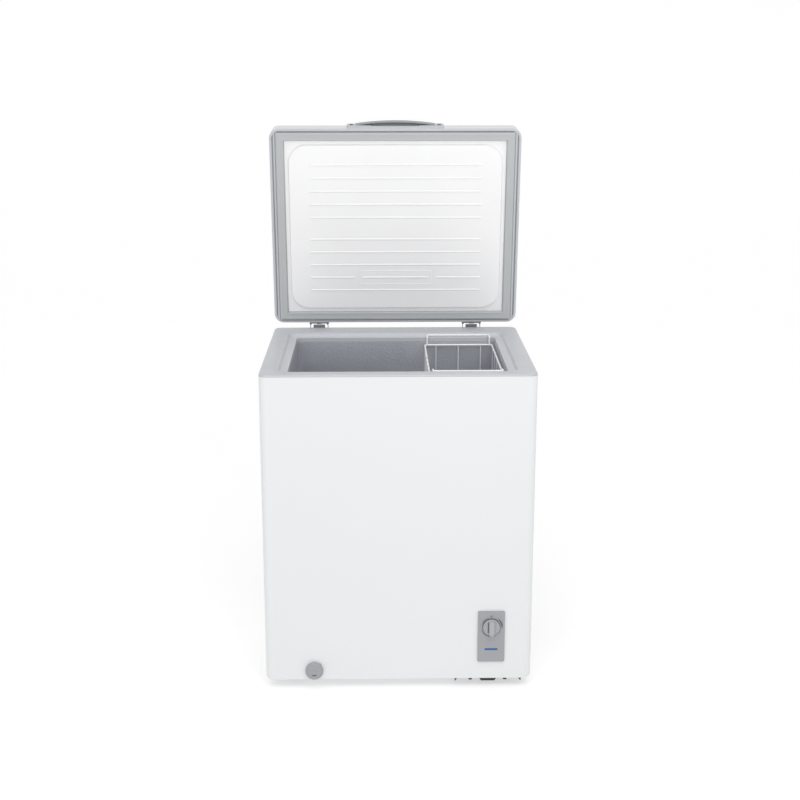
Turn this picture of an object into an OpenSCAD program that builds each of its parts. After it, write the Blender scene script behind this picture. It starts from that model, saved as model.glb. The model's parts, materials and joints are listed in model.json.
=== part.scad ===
// Small chest freezer, lid open.
// Every piece is drawn in the cabinet's own frame: X across, Y back from the front panel,
// Z up from the floor. case_frame() then puts the origin under the middle of the whole part.

/* [Cabinet] */
// Width of the cabinet
body_w = 625; // [560:5:1100]
// Depth of the cabinet, front panel to back panel
body_d = 500; // [440:5:700]
// Height of the white front panel
panel_h = 736; // [640:1:900]
// Gap between the floor and the cabinet
ground_gap = 22; // [18:1:40]
// Radius of the cabinet's upright corners
corner_r = 15; // [10:1:25]
// Radius of the rolled edges along the bottom
roll_r = 13; // [8:1:20]
// Thickness of the steel sheet
sheet_t = 0.8; // [0.6:0.1:1.2]

/* [Insulation] */
// Side wall, outside to liner
side_wall = 62.5; // [55:0.5:90]
// Front wall, outside to liner
front_wall = 56; // [50:0.5:80]
// Back wall, outside to liner
back_wall = 88; // [80:0.5:110]
// Floor, underside to liner
floor_wall = 66; // [55:1:90]
// Thickness of the liner sheet
liner_t = 1; // [0.6:0.1:1.5]
// Radius of the liner's upright corners
liner_r = 14; // [8:1:25]

/* [Collar] */
// Thickness of the collar
collar_t = 5; // [4:0.5:8]
// Flat rim at the sides
rim_side = 41.5; // [36:0.5:50]
// Flat rim at the front
rim_front = 33; // [28:0.5:42]
// Flat rim at the back
rim_back = 73; // [66:0.5:80]
// Depth of the ledge below the rim
ledge_drop = 7; // [6:0.5:12]
// Depth of the skirt below the rim
skirt_drop = 19; // [16:0.5:30]

/* [Compressor compartment] */
// Width of the compartment
comp_w = 200; // [190:1:240]
// Height of the compartment
comp_h = 225; // [215:1:260]
// Foam over and beside the compartment
step_wall = 56; // [40:1:80]
// Radius of the compressor can
can_r = 68; // [55:1:72]
// Height of the compressor can
can_h = 168; // [140:1:175]

/* [Lid] */
// Height of the lid shell
lid_h = 73; // [60:1:90]
// Gap between the collar and the lid's rim, filled by the gasket
seal_gap = 9; // [7:0.5:12]
// Overhang of the lid in front of the cabinet
lid_front_over = 2; // [0:0.5:8]
// Radius of the lid's upper edges
lid_edge_r = 25; // [8:1:30]
// Angle of the lid from closed, as drawn
lid_open = 84; // [0:1:84]
// Radius of the lid's corners
lid_r = 24; // [15:1:30]
// Width of the lid's rim outside the gasket, at the sides
lid_rim_side = 15; // [8:0.5:18]
// Width of the lid's rim outside the gasket, at the front and back
lid_rim_end = 8.5; // [7.5:0.5:14]
// Width of the gasket
gasket_w = 21; // [16:0.5:26]
// Number of ribs in each half of the lid's inside
rib_n = 5; // [3:1:5]
// Spacing of the ribs
rib_pitch = 33.5; // [24:0.5:34]

/* [Hinges] */
// Distance between the two hinges
hinge_span = 396; // [300:2:480]
// Width of a hinge
hinge_w = 47; // [40:1:60]
// Height of the hinge pin above the collar
hinge_up = 12; // [11:0.5:14]
// Diameter of the hinge pin
pin_d = 5; // [4:0.1:5.6]

/* [Handle] */
// Width of the handle base
handle_w = 241; // [180:1:300]
// Width of the arched grip
grip_w = 197; // [140:1:240]
// Rise of the arched grip
grip_rise = 9; // [6:0.5:14]

/* [Controls] */
// Width of the control bezel
bezel_w = 63; // [56:1:80]
// Height of the control bezel
bezel_h = 127; // [110:1:150]
// Distance of the bezel's middle from the cabinet's middle
bezel_x = 217; // [200:1:217]
// Height of the bezel's lower edge above the panel's lower edge
bezel_up = 44; // [40:1:70]
// Diameter of the knob
knob_d = 39.5; // [34:0.5:46]
// Diameter of the knob's shaft
shaft_d = 6; // [5:0.1:7]

/* [Drain] */
// Distance of the drain from the cabinet's middle
drain_x = 198; // [150:1:210]
// Height of the drain above the panel's lower edge
drain_up = 24; // [23:0.5:34]
// Diameter of the drain dial
dial_d = 42; // [36:0.5:44]
// Diameter of the drain's outlet
outlet_d = 12; // [9:0.5:13]

/* [Basket] */
// Width of the basket
basket_w = 175; // [140:1:190]
// Depth of the basket below its rim
basket_h = 196; // [120:1:220]
// Gap between the basket and the liner's right side
basket_gap = 4; // [3:0.5:10]
// Diameter of the rim wire
rim_wire = 5; // [4:0.1:6]
// Diameter of the grid wire
grid_wire = 3; // [2.4:0.1:3.6]
// Spacing of the grid wires
grid_pitch = 50; // [30:1:60]

/* [Hidden] */

// True circles everywhere unless a module says otherwise
$fn = 64;
// Overshoot of a cutting shape past the face it cuts
eps = 1;
// Running clearance of a shaft in its bore, on the radius
run_gap = 0.06;
// Clearance between pieces that pass each other
pass_gap = 0.5;

panel_z = ground_gap;
collar_z = panel_z + panel_h;
top_z = collar_z + collar_t;
half_w = body_w / 2;

// Liner, inside faces
liner_x = half_w - side_wall;
liner_y0 = front_wall;
liner_y1 = body_d - back_wall;
liner_z0 = panel_z + floor_wall;
liner_top = top_z - skirt_drop;

// Compressor compartment, inside faces
pan_t = sheet_t;
comp_x1 = half_w - sheet_t;
comp_x0 = comp_x1 - comp_w;
comp_z0 = panel_z + pan_t;
comp_z1 = comp_z0 + comp_h;
comp_mid = (comp_x0 + comp_x1) / 2;
shroud_t = 1;
step_x = comp_x0 - shroud_t - step_wall;
step_z = comp_z1 + shroud_t + step_wall;

// Lid, as closed
rim_z = top_z + seal_gap;
lid_top = rim_z + lid_h;
lid_y0 = -lid_front_over;
lid_y1 = body_d;
lid_x = half_w + 0.5;
shell_t = 1.2;
frame_t = 3;
skin_t = 2.2;
seal_clear = 0.3;
// Gasket, outside and inside lines
gasket_x = lid_x - lid_rim_side;
gasket_y0 = lid_y0 + lid_rim_end;
gasket_y1 = lid_y1 - lid_rim_end;
gasket_t = seal_gap - seal_clear;
gasket_in = gasket_w + 2;
// Raised pad of the lid's liner
pad_drop = 6.5;
pad_in = 8;
pad_r = 46;
rib_drop = 1.6;
rib_w = 5;
rib_end = 50;
rib_gap = 56;

// Hinges, as closed
hinge_y = lid_y1 + 2;
hinge_z = top_z + hinge_up;
leaf_t = 1.6;
ear_r = 6;
pocket_w = hinge_w + 5;
pocket_y = hinge_y - ear_r - pass_gap;
pocket_h = 25;
pocket_wall = 2.5;
plate_drop = 92;
spring_wire = 1.4;
spring_r = pin_d / 2 + spring_wire / 2 + 0.4;
spring_turns = 5;

// Whole part, front to back, with the lid as drawn
knob_h = 17;
bezel_t = 4;
front_reach = bezel_t + knob_h + 0.6;
rear_reach = hinge_y + (lid_y1 - lid_edge_r - hinge_y) * cos(lid_open)
    + (lid_top - lid_edge_r - hinge_z) * sin(lid_open) + lid_edge_r;
case_y = -(rear_reach - front_reach) / 2;

// Controls
knob_z = panel_z + bezel_up + 89;
lens_z = panel_z + bezel_up + 32;
lens_w = 30;
lens_h = 4.6;
bezel_r = 3.5;

// Drain
drain_z = panel_z + drain_up;
sleeve_r = 15.5;
spout_r = 11;
pipe_r = 11;
pipe_t = 2;
well_y = liner_y0 + 44;
dial_t = 9;
dial_gap = 0.5;
plug_r = 8;

// Basket, outside faces
basket_x1 = liner_x - basket_gap;
basket_x0 = basket_x1 - basket_w;
basket_y0 = liner_y0 + 6;
basket_y1 = liner_y1 - 6;
basket_rim_z = top_z - skirt_drop - 7;
hook_in = 8;
basket_r = 6;
hang_z = top_z - ledge_drop + 0.3 + rim_wire / 2;

// Colours
white = "white";
grey = [0.68, 0.69, 0.71];
dark_grey = [0.55, 0.56, 0.58];
black = [0.12, 0.12, 0.13];
steel = "silver";
copper = [0.72, 0.45, 0.25];
foam_yellow = [0.93, 0.87, 0.65];

// ---- Shared shapes ----

// Puts a piece of the cabinet in the part's frame
module case_frame() {
    translate([0, case_y, 0]) children();
}

// Puts a piece of the lid, drawn closed, at the angle of the open lid
module lid_frame_open() {
    translate([0, case_y + hinge_y, hinge_z])
        rotate([-lid_open, 0, 0])
        translate([0, -hinge_y, -hinge_z]) children();
}

// Rounded rectangle from corner a to corner b
module round_rect(a, b, r) {
    translate([a[0] + r, a[1]]) square([b[0] - a[0] - 2 * r, b[1] - a[1]]);
    translate([a[0], a[1] + r]) square([b[0] - a[0], b[1] - a[1] - 2 * r]);
    for (x = [a[0] + r, b[0] - r], y = [a[1] + r, b[1] - r]) translate([x, y]) circle(r);
}

// Upright rounded block from corner a to corner b
module round_block(a, b, r) {
    translate([0, 0, a[2]])
        linear_extrude(b[2] - a[2]) round_rect([a[0], a[1]], [b[0], b[1]], r);
}

// Plain block from corner a to corner b
module block(a, b) {
    translate(a) cube(b - a);
}

// Cylinder along Y from y0 to y1
module rod_y(x, z, r, y0, y1) {
    translate([x, y0, z]) rotate([-90, 0, 0]) cylinder(r = r, h = y1 - y0);
}

// Cylinder along X from x0 to x1
module rod_x(y, z, r, x0, x1) {
    translate([x0, y, z]) rotate([0, 90, 0]) cylinder(r = r, h = x1 - x0);
}

// Round wire bent into a flat rounded rectangle, its middle line from a to b at height z
module wire_ring(a, b, z, bend, r) {
    for (x = [a[0], b[0]]) rod_y(x, z, r, a[1] + bend, b[1] - bend);
    for (y = [a[1], b[1]]) rod_x(y, z, r, a[0] + bend, b[0] - bend);
    for (i = [0, 1], j = [0, 1])
        translate([i == 0 ? a[0] + bend : b[0] - bend, j == 0 ? a[1] + bend : b[1] - bend, z])
        rotate([0, 0, i == 0 ? (j == 0 ? 180 : 90) : (j == 0 ? 270 : 0)])
        rotate_extrude(angle = 90) translate([bend, 0]) circle(r);
}

// Solid with the cabinet's outline, inset all round, with its rolled lower edges
module body_solid(inset, z1) {
    z_roll = panel_z + inset + 2 * roll_r;
    intersection() {
        round_block([-half_w + inset, inset, panel_z],
                    [half_w - inset, body_d - inset, z1], corner_r - inset);
        translate([0, body_d + eps, 0]) rotate([90, 0, 0]) linear_extrude(body_d + 2 * eps)
            union() {
                round_rect([-half_w + inset, panel_z + inset],
                           [half_w - inset, z_roll + roll_r], roll_r - inset);
                translate([-half_w + inset, z_roll])
                    square([body_w - 2 * inset, z1 - z_roll + eps]);
            }
    }
}

// Outer shell of sheet steel, open at the top and underneath
module body_shell() {
    difference() {
        body_solid(0, collar_z);
        body_solid(sheet_t, collar_z + eps);
        block([-half_w + roll_r, roll_r, panel_z - eps], [half_w - roll_r, body_d + eps, comp_z0]);
    }
}

// Space of the liner, grown by t: the deep well and the step over the compartment
module liner_space(t, top) {
    difference() {
        round_block([-liner_x - t, liner_y0 - t, liner_z0 - t],
                    [liner_x + t, liner_y1 + t, top], liner_r + t);
        block([step_x + t, liner_y0 - t - eps, liner_z0 - t - eps],
              [liner_x + t + eps, liner_y1 + t + eps, step_z - t]);
    }
}

// Space of the compressor compartment, grown by t into the foam
module compartment(t) {
    block([comp_x0 - t, -eps, panel_z - eps], [half_w + eps, body_d + eps, comp_z1 + t]);
}

// Pocket in the lid's rear edge for a hinge at x, grown by t
module hinge_pocket(x, t) {
    block([x - pocket_w / 2 - t, pocket_y - t, rim_z - eps],
          [x + pocket_w / 2 + t, lid_y1 + eps, rim_z + pocket_h + t]);
}

// Screw head and shank pointing along -Y into the piece, head face at y
module screw_y(x, y, z, head_r, len) {
    rod_y(x, z, head_r, y, y + head_r * 0.55);
    rod_y(x, z, head_r * 0.5, y - len, y);
}

// ---- Cabinet ----

// Cut-outs in the front panel for the drain and the bezel
module front_holes() {
    rod_y(-drain_x, drain_z, sleeve_r, -eps, sheet_t + eps);
    bezel_box(0, -eps, sheet_t + eps);
}

// Box behind the bezel, grown by t
module bezel_box(t, y0, y1) {
    block([bezel_x - bezel_w / 2 + 6 - t, y0, panel_z + bezel_up + 6 - t],
          [bezel_x + bezel_w / 2 - 6 + t, y1, panel_z + bezel_up + bezel_h - 6 + t]);
}

vent_y0 = 150;
vent_y1 = 400;
vent_z0 = panel_z + 60;
vent_z1 = panel_z + 180;

// Opening in the right side for the vent
module vent_hole(x0) {
    block([x0, vent_y0, vent_z0], [half_w + eps, vent_y1, vent_z1]);
}

// Where the wrap ends and the back panel begins
seam_y = body_d - corner_r - 12;

module outer_wrap() {
    color(white) case_frame() difference() {
        body_shell();
        block([-half_w - eps, seam_y, 0], [half_w + eps, body_d + eps, collar_z + eps]);
        front_holes();
        vent_hole(half_w - 5);
    }
}

cover_z0 = panel_z + 20;
cover_z1 = comp_z1 - 6;
cover_x0 = comp_x0 + 6;
cover_x1 = half_w - corner_r - 4;

module back_panel() {
    color(grey) case_frame() difference() {
        body_shell();
        block([-half_w - eps, -eps, 0], [half_w + eps, seam_y, collar_z + eps]);
        block([cover_x0, body_d - 5, cover_z0], [cover_x1, body_d + eps, cover_z1]);
        hinge_screw_holes();
        for (p = cover_screws) rod_y(p[0], p[1], 1.9, body_d - 5, body_d + eps);
    }
}

// Lugs of the tray, with a hole under each corner of the compressor
mount_dx = 62;
mount_dy = 72;
comp_y = 300;
mount_hole_r = 5.2;

module base_pan() {
    color(steel) case_frame() difference() {
        block([-half_w + roll_r + 0.3, roll_r + 0.3, panel_z],
              [half_w - roll_r - 0.3, body_d - sheet_t, comp_z0]);
        block([comp_x0 + 20, 60, 0], [comp_x1 - 30, 470, comp_z0 + eps]);
    }
}

coil_r = 3.2;
coil_n = 5;
coil_slot = 2 * coil_r + 0.8;
coil_z0 = step_z + 30;
coil_step = (liner_top - 40 - coil_z0) / (coil_n - 1);

// One channel in the foam per turn of a coil
module coil_slots(x, y0, y1, out, r) {
    for (i = [0 : coil_n - 1]) let (z = coil_z0 + i * coil_step)
        difference() {
            round_block([-x - out, y0 - out, z - coil_slot / 2],
                        [x + out, y1 + out, z + coil_slot / 2], r + out);
            round_block([-x, y0, z - coil_slot], [x, y1, z + coil_slot], r);
        }
}

module insulation() {
    color(foam_yellow) case_frame() difference() {
        body_solid(sheet_t, collar_z);
        block([-half_w, 0, 0], [half_w, body_d, comp_z0]);
        liner_space(liner_t, top_z + eps);
        compartment(shroud_t);
        coil_slots(liner_x + liner_t, liner_y0 - liner_t, liner_y1 + liner_t,
                   coil_slot, liner_r + liner_t);
        coil_slots(half_w - sheet_t - coil_slot, sheet_t + coil_slot,
                   body_d - sheet_t - coil_slot, coil_slot + eps, corner_r - sheet_t - coil_slot);
        collar_drop(0);
        rod_y(-drain_x, drain_z, sleeve_r, 0, sleeve_y1);
        rod_y(-drain_x, drain_z, pipe_r, 0, well_y);
        translate([-drain_x, well_y, drain_z]) cylinder(r = pipe_r, h = liner_z0 - drain_z);
        translate([-drain_x, well_y, drain_z]) sphere(pipe_r);
        suction_duct();
        hinge_screw_holes();
    }
}

module inner_liner() {
    color([0.6, 0.62, 0.65]) case_frame() difference() {
        liner_space(liner_t, liner_top);
        liner_space(0, liner_top + eps);
        translate([-drain_x, well_y, liner_z0 - 5]) cylinder(r = pipe_r - pipe_t, h = 10);
    }
}

// Part of the collar that hangs below the rim, down to the skirt's lower edge
module collar_drop(lift) {
    round_block([-half_w + rim_side - collar_t + 1, rim_front - collar_t + 1,
                 top_z - ledge_drop - 3 + lift],
                [half_w - rim_side + collar_t - 1, body_d - rim_back + collar_t - 1,
                 collar_z + eps], liner_r + 10);
    round_block([-liner_x - 3, liner_y0 - 3, liner_top - lift],
                [liner_x + 3, liner_y1 + 3, collar_z], liner_r + 3);
}

module top_collar() {
    color(grey) case_frame() difference() {
        union() {
            round_block([-half_w, 0, collar_z], [half_w, body_d, top_z], corner_r + 3);
            collar_drop(0);
        }
        round_block([-half_w + rim_side, rim_front, top_z - ledge_drop],
                    [half_w - rim_side, body_d - rim_back, top_z + eps], liner_r + 6);
        round_block([-liner_x, liner_y0, liner_top - eps],
                    [liner_x, liner_y1, top_z], liner_r);
    }
}

module evaporator_coil() {
    gap = liner_t + coil_r + 0.4;
    color(copper) case_frame() {
        for (i = [0 : coil_n - 1])
            wire_ring([-liner_x - gap, liner_y0 - gap], [liner_x + gap, liner_y1 + gap],
                      coil_z0 + i * coil_step, liner_r + gap, coil_r);
    }
}

module condenser_coil() {
    gap = sheet_t + coil_r + 0.4;
    color(copper) case_frame() {
        for (i = [0 : coil_n - 1])
            wire_ring([-half_w + gap, gap], [half_w - gap, body_d - gap],
                      coil_z0 + i * coil_step, corner_r - gap, coil_r);
    }
}

module compartment_shroud() {
    color(steel) case_frame() difference() {
        intersection() {
            compartment(shroud_t);
            body_solid(sheet_t, collar_z);
            block([0, 0, comp_z0], [half_w, body_d, collar_z]);
        }
        compartment(0);
        suction_duct();
    }
}

tray_t = 2;
tray_z = comp_z0 + 8;
foot_h = 10;
can_z = tray_z + tray_t + foot_h;
can_edge = 28;

foot_plate_t = 3;
can_wall = 3;
belt_w = 4;

// Half section of the can, inset by t
module can_section(t) {
    r = can_edge - t;
    difference() {
        union() {
            translate([0, t]) square([can_r - can_edge, can_h - 2 * t]);
            translate([0, can_edge]) square([can_r - t, can_h - 2 * can_edge]);
            for (y = [can_edge, can_h - can_edge]) translate([can_r - can_edge, y]) circle(r);
        }
        translate([-2 * can_r, -eps]) square([2 * can_r, can_h + 2 * eps]);
    }
}

belt_z = can_h * 0.55;

module compressor() {
    color(black) case_frame() translate([comp_mid, comp_y, can_z]) {
        difference() {
            round_block([-mount_dx - 12, -mount_dy - 12, 0],
                        [mount_dx + 12, mount_dy + 12, foot_plate_t], 14);
            for (x = [-mount_dx, mount_dx], y = [-mount_dy, mount_dy])
                translate([x, y, -eps]) cylinder(r = mount_hole_r, h = 8);
        }
        translate([0, 0, foot_plate_t]) rotate_extrude() difference() {
            union() {
                can_section(0);
                translate([can_r - can_wall, belt_z]) square([can_wall + belt_w, 5]);
            }
            can_section(can_wall);
        }
    }
}

// Motor and pump block hanging inside the can
module compressor_motor() {
    color(steel) case_frame() translate([comp_mid, comp_y, can_z + foot_plate_t + 24]) {
        cylinder(r = can_r - 22, h = 50);
        translate([0, 0, 50]) cylinder(r = can_r - 38, h = 24);
        translate([0, 0, 74]) cylinder(r = 8, h = 20);
    }
}

module compressor_tray() {
    color(steel) case_frame() difference() {
        union() {
            block([comp_x0 + 8, 50, tray_z], [comp_x1 - 18, 490, tray_z + tray_t]);
            for (x = [comp_x0 + 8, comp_x1 - 20])
                block([x, 50, comp_z0], [x + tray_t, 490, tray_z + eps]);
        }
        for (x = [-mount_dx, mount_dx], y = [-mount_dy, mount_dy])
            translate([comp_mid + x, comp_y + y, 0]) cylinder(r = 3.3, h = 60);
    }
}

module compressor_grommets() {
    color(black) case_frame()
        for (x = [-mount_dx, mount_dx], y = [-mount_dy, mount_dy])
            translate([comp_mid + x, comp_y + y, tray_z + tray_t]) difference() {
                union() {
                    cylinder(r = 11, h = foot_h);
                    cylinder(r = mount_hole_r, h = foot_h + 3);
                    translate([0, 0, foot_h + 3]) cylinder(r = 8, h = 3);
                }
                translate([0, 0, -eps]) cylinder(r = 3.3, h = 40);
            }
}

module compressor_bolts() {
    color(steel) case_frame()
        for (x = [-mount_dx, mount_dx], y = [-mount_dy, mount_dy])
            translate([comp_mid + x, comp_y + y, 0]) {
                translate([0, 0, comp_z0 + 1]) cylinder(r = 3, h = tray_z + foot_h - comp_z0 + 7);
                translate([0, 0, tray_z + tray_t + foot_h + 6]) cylinder(r = 6, h = 4, $fn = 6);
                translate([0, 0, comp_z0 + 1]) cylinder(r = 6, h = 4, $fn = 6);
            }
}

// Terminal cover on the compressor's left face, under the can's weld belt
cover_w = 46;
cover_h = 52;
cover_t = 2;
belt_gap = 11.4;
term_x1 = comp_mid - can_r - 1;
term_x0 = term_x1 - 20;
term_z = can_z + foot_plate_t + belt_z - belt_gap - cover_h / 2;

module terminal_cover() {
    color(black) case_frame() difference() {
        block([term_x0, comp_y - cover_w / 2, term_z - cover_h / 2],
              [term_x1, comp_y + cover_w / 2, term_z + cover_h / 2]);
        block([term_x0 + cover_t, comp_y - cover_w / 2 + cover_t, term_z - cover_h / 2 + cover_t],
              [term_x1 + eps, comp_y + cover_w / 2 - cover_t, term_z + cover_h / 2 - cover_t]);
    }
}

module start_relay() {
    color(white) case_frame()
        block([term_x0 + 4, comp_y - 14, term_z - 16], [term_x1 - 1, comp_y + 14, term_z + 14]);
}

tube_r = 3.5;
tube_z = can_z + can_edge + 14;
tube_gap = 0.1;

// Filter drier, upright beside the compressor
drier_x = comp_x1 - 26;
drier_y = 430;
drier_neck = 8;
drier_z0 = tube_z + 24;

module filter_drier() {
    color(copper) case_frame() translate([drier_x, drier_y, drier_z0]) {
        cylinder(r = 9, h = 90);
        translate([0, 0, 90]) cylinder(r = 5, h = drier_neck);
        translate([0, 0, -drier_neck]) cylinder(r = 5, h = drier_neck);
    }
}

// Suction tube: from the back of the can, then up behind the liner to the coil
suction_y = liner_y1 + liner_t + coil_r + 0.4;

module suction_tube() {
    z1 = coil_z0 - coil_r - tube_gap;
    color(copper) case_frame() {
        rod_y(comp_mid, tube_z, tube_r, comp_y + can_r + tube_gap, suction_y);
        translate([comp_mid, suction_y, tube_z]) sphere(tube_r);
        translate([comp_mid, suction_y, tube_z]) cylinder(r = tube_r, h = z1 - tube_z);
    }
}

// Way for the suction tube through the foam and the shroud
module suction_duct() {
    block([comp_mid - 5, liner_y1 + liner_t, comp_z1 - eps],
          [comp_mid + 5, suction_y + 5, coil_z0]);
}

// Discharge tube: from the can's right face back to the drier's foot
module discharge_tube() {
    color(copper) case_frame() {
        translate([drier_x, drier_y, tube_z])
            cylinder(r = tube_r, h = drier_z0 - drier_neck - tube_gap - tube_z);
        translate([drier_x, drier_y, tube_z]) sphere(tube_r);
        rod_y(drier_x, tube_z, tube_r, comp_y, drier_y);
        translate([drier_x, comp_y, tube_z]) sphere(tube_r);
        rod_x(comp_y, tube_z, tube_r, comp_mid + can_r + tube_gap, drier_x);
    }
}

module rear_cover() {
    color(grey) case_frame() difference() {
        block([cover_x0 - 8, body_d + 0.1, cover_z0 - 8],
              [cover_x1 + 2, body_d + 1.3, cover_z1 + 6]);
        for (i = [0 : 8], j = [0 : 4])
            block([cover_x0 + 14 + j * 28, body_d - eps, cover_z0 + 60 + i * 13],
                  [cover_x0 + 36 + j * 28, body_d + 3, cover_z0 + 65 + i * 13]);
        rod_y(gland_x, gland_z, gland_r, body_d - eps, body_d + 5);
        for (p = cover_screws) rod_y(p[0], p[1], 1.9, body_d - eps, body_d + 5);
    }
}

gland_x = cover_x0 + 26;
gland_z = cover_z0 + 26;
gland_r = 8;
cord_r = 4;
cover_screws = [for (x = [cover_x0 - 4, cover_x1 - 2], z = [cover_z0 + 12, cover_z1 - 12]) [x, z]];

module rear_cover_screws() {
    color(steel) case_frame() for (p = cover_screws)
        screw_y(p[0], body_d + 1.35, p[1], 3.6, 9);
}

module cord_gland() {
    color(black) case_frame() difference() {
        union() {
            rod_y(gland_x, gland_z, gland_r - 0.05, body_d - 6, body_d + 2);
            rod_y(gland_x, gland_z, gland_r + 4, body_d + 1.4, body_d + 5);
            rod_y(gland_x, gland_z, gland_r + 3, body_d - 8, body_d - 3);
        }
        rod_y(gland_x, gland_z, cord_r, body_d - 20, body_d + 20);
    }
}

module side_vent() {
    slat_n = 9;
    slat_step = (vent_z1 - vent_z0 - 10) / slat_n;
    color(grey) case_frame() difference() {
        union() {
            block([half_w - sheet_t - 2.2, vent_y0 - 6, vent_z0 - 6],
                  [half_w - sheet_t - 0.1, vent_y1 + 6, vent_z1 + 6]);
            block([half_w - sheet_t - 1, vent_y0 + 0.3, vent_z0 + 0.3],
                  [half_w - 0.1, vent_y1 - 0.3, vent_z1 - 0.3]);
        }
        for (i = [0 : slat_n - 1])
            block([half_w - 9, vent_y0 + 10, vent_z0 + 8 + i * slat_step],
                  [half_w + eps, vent_y1 - 10, vent_z0 + 14 + i * slat_step]);
    }
}

module control_bezel() {
    color(dark_grey) case_frame() difference() {
        union() {
            translate([bezel_x, 0, panel_z + bezel_up + bezel_h / 2])
                rotate([90, 0, 0]) linear_extrude(bezel_t)
                round_rect([-bezel_w / 2, -bezel_h / 2], [bezel_w / 2, bezel_h / 2], bezel_r);
            bezel_box(-0.3, -eps, 8);
        }
        bezel_box(-2.3, 0, 9);
        rod_y(bezel_x, knob_z, shaft_d / 2 + run_gap, -bezel_t - eps, 2);
        block([bezel_x - lens_w / 2 - 0.1, -bezel_t - eps, lens_z - lens_h / 2 - 0.1],
              [bezel_x + lens_w / 2 + 0.1, 1, lens_z + lens_h / 2 + 0.1]);
    }
}

module thermostat() {
    color(steel) case_frame() difference() {
        union() {
            block([bezel_x - 20, 0.2, knob_z - 18], [bezel_x + 20, 28, knob_z + 14]);
            rod_y(bezel_x, knob_z - 22, 3, 12, 18);
            block([bezel_x - 5, 10, knob_z - 24], [bezel_x + 5, 20, knob_z - 17]);
        }
        rod_y(bezel_x, knob_z, shaft_d / 2 + run_gap, -eps, 14.5);
    }
}

// Capillary: from the thermostat back and up to its bulb in the foam's duct
bulb_y = liner_y1 - 56;
module capillary() {
    r = 1.1;
    z0 = knob_z + 8;
    y_turn = 90;
    z_turn = comp_z1 - 8;
    x0 = bezel_x - 14;
    color(copper) case_frame() {
        rod_y(x0, z0, r, 28.05, y_turn);
        translate([x0, y_turn, z0]) sphere(r);
        translate([x0, y_turn, z0]) cylinder(r = r, h = z_turn - z0);
        translate([x0, y_turn, z_turn]) sphere(r);
        rod_y(x0, z_turn, r, y_turn, bulb_y - 40);
        rod_y(x0, z_turn, 3.2, bulb_y - 40, bulb_y - 8);
    }
}

module indicator_lens() {
    color("royalblue") case_frame()
        block([bezel_x - lens_w / 2, -bezel_t - 0.4, lens_z - lens_h / 2],
              [bezel_x + lens_w / 2, 0.5, lens_z + lens_h / 2]);
}

module lamp_board() {
    color("seagreen") case_frame() {
        block([bezel_x - 20, 3, lens_z - 9], [bezel_x + 20, 4.6, lens_z + 9]);
        for (x = [-9, 0, 9]) rod_y(bezel_x + x, lens_z, 1.5, 0.6, 3);
    }
}

// Drain: sleeve in the front panel, pipe through the foam, spout and dial
sleeve_y1 = 24;
spout_y1 = 22;

module drain_pipe() {
    y_end = sleeve_y1 + 0.1;
    color(grey) case_frame() difference() {
        union() {
            rod_y(-drain_x, drain_z, pipe_r - 0.05, y_end, well_y);
            translate([-drain_x, well_y, drain_z])
                cylinder(r = pipe_r - 0.05, h = liner_z0 - liner_t - 0.1 - drain_z);
            translate([-drain_x, well_y, drain_z]) sphere(pipe_r - 0.05);
        }
        rod_y(-drain_x, drain_z, pipe_r - pipe_t, 0, well_y);
        translate([-drain_x, well_y, drain_z]) cylinder(r = pipe_r - pipe_t, h = 200);
        translate([-drain_x, well_y, drain_z]) sphere(pipe_r - pipe_t);
    }
}

module drain_sleeve() {
    color(dark_grey) case_frame() difference() {
        rod_y(-drain_x, drain_z, sleeve_r - 0.05, 0, sleeve_y1);
        rod_y(-drain_x, drain_z, spout_r + run_gap, -eps, spout_y1 + 0.2);
        rod_y(-drain_x, drain_z, pipe_r - pipe_t, 0, 60);
    }
}

foot_x = half_w - 62;
foot_y0 = 62;
foot_y1 = body_d - 46;
foot_r = 19;

module feet() {
    color(black) case_frame()
        for (x = [-foot_x, foot_x], y = [foot_y0, foot_y1])
            translate([x, y, 0]) difference() {
                union() {
                    cylinder(r1 = foot_r - 3, r2 = foot_r, h = 8);
                    translate([0, 0, 8]) cylinder(r = foot_r, h = panel_z - 8);
                }
                translate([0, 0, -eps]) cylinder(r = 6.5, h = 9);
                cylinder(r = 2.6, h = 60);
            }
}

module foot_screws() {
    color(steel) case_frame()
        for (x = [-foot_x, foot_x], y = [foot_y0, foot_y1]) translate([x, y, 0]) {
            translate([0, 0, 4.5]) cylinder(r = 5, h = 3.4);
            translate([0, 0, 7]) cylinder(r = 2.5, h = panel_z - 7.1);
        }
}

// Dark skid under the panel's front edge, with two screw heads and two end hooks
skid_w = 46;
skid_t = 1.5;
skid_y0 = 10;
skid_y1 = 42;
skid_foot_d = 18;
skid_foot_h = 11;
skid_taper = 7;
skid_screw_x = 41;
skid_screw_r = 4.5;
skid_screw_h = 9;
hook_x = 74;
hook_w = 10;
hook_d = 12;
hook_h = 12;

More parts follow.
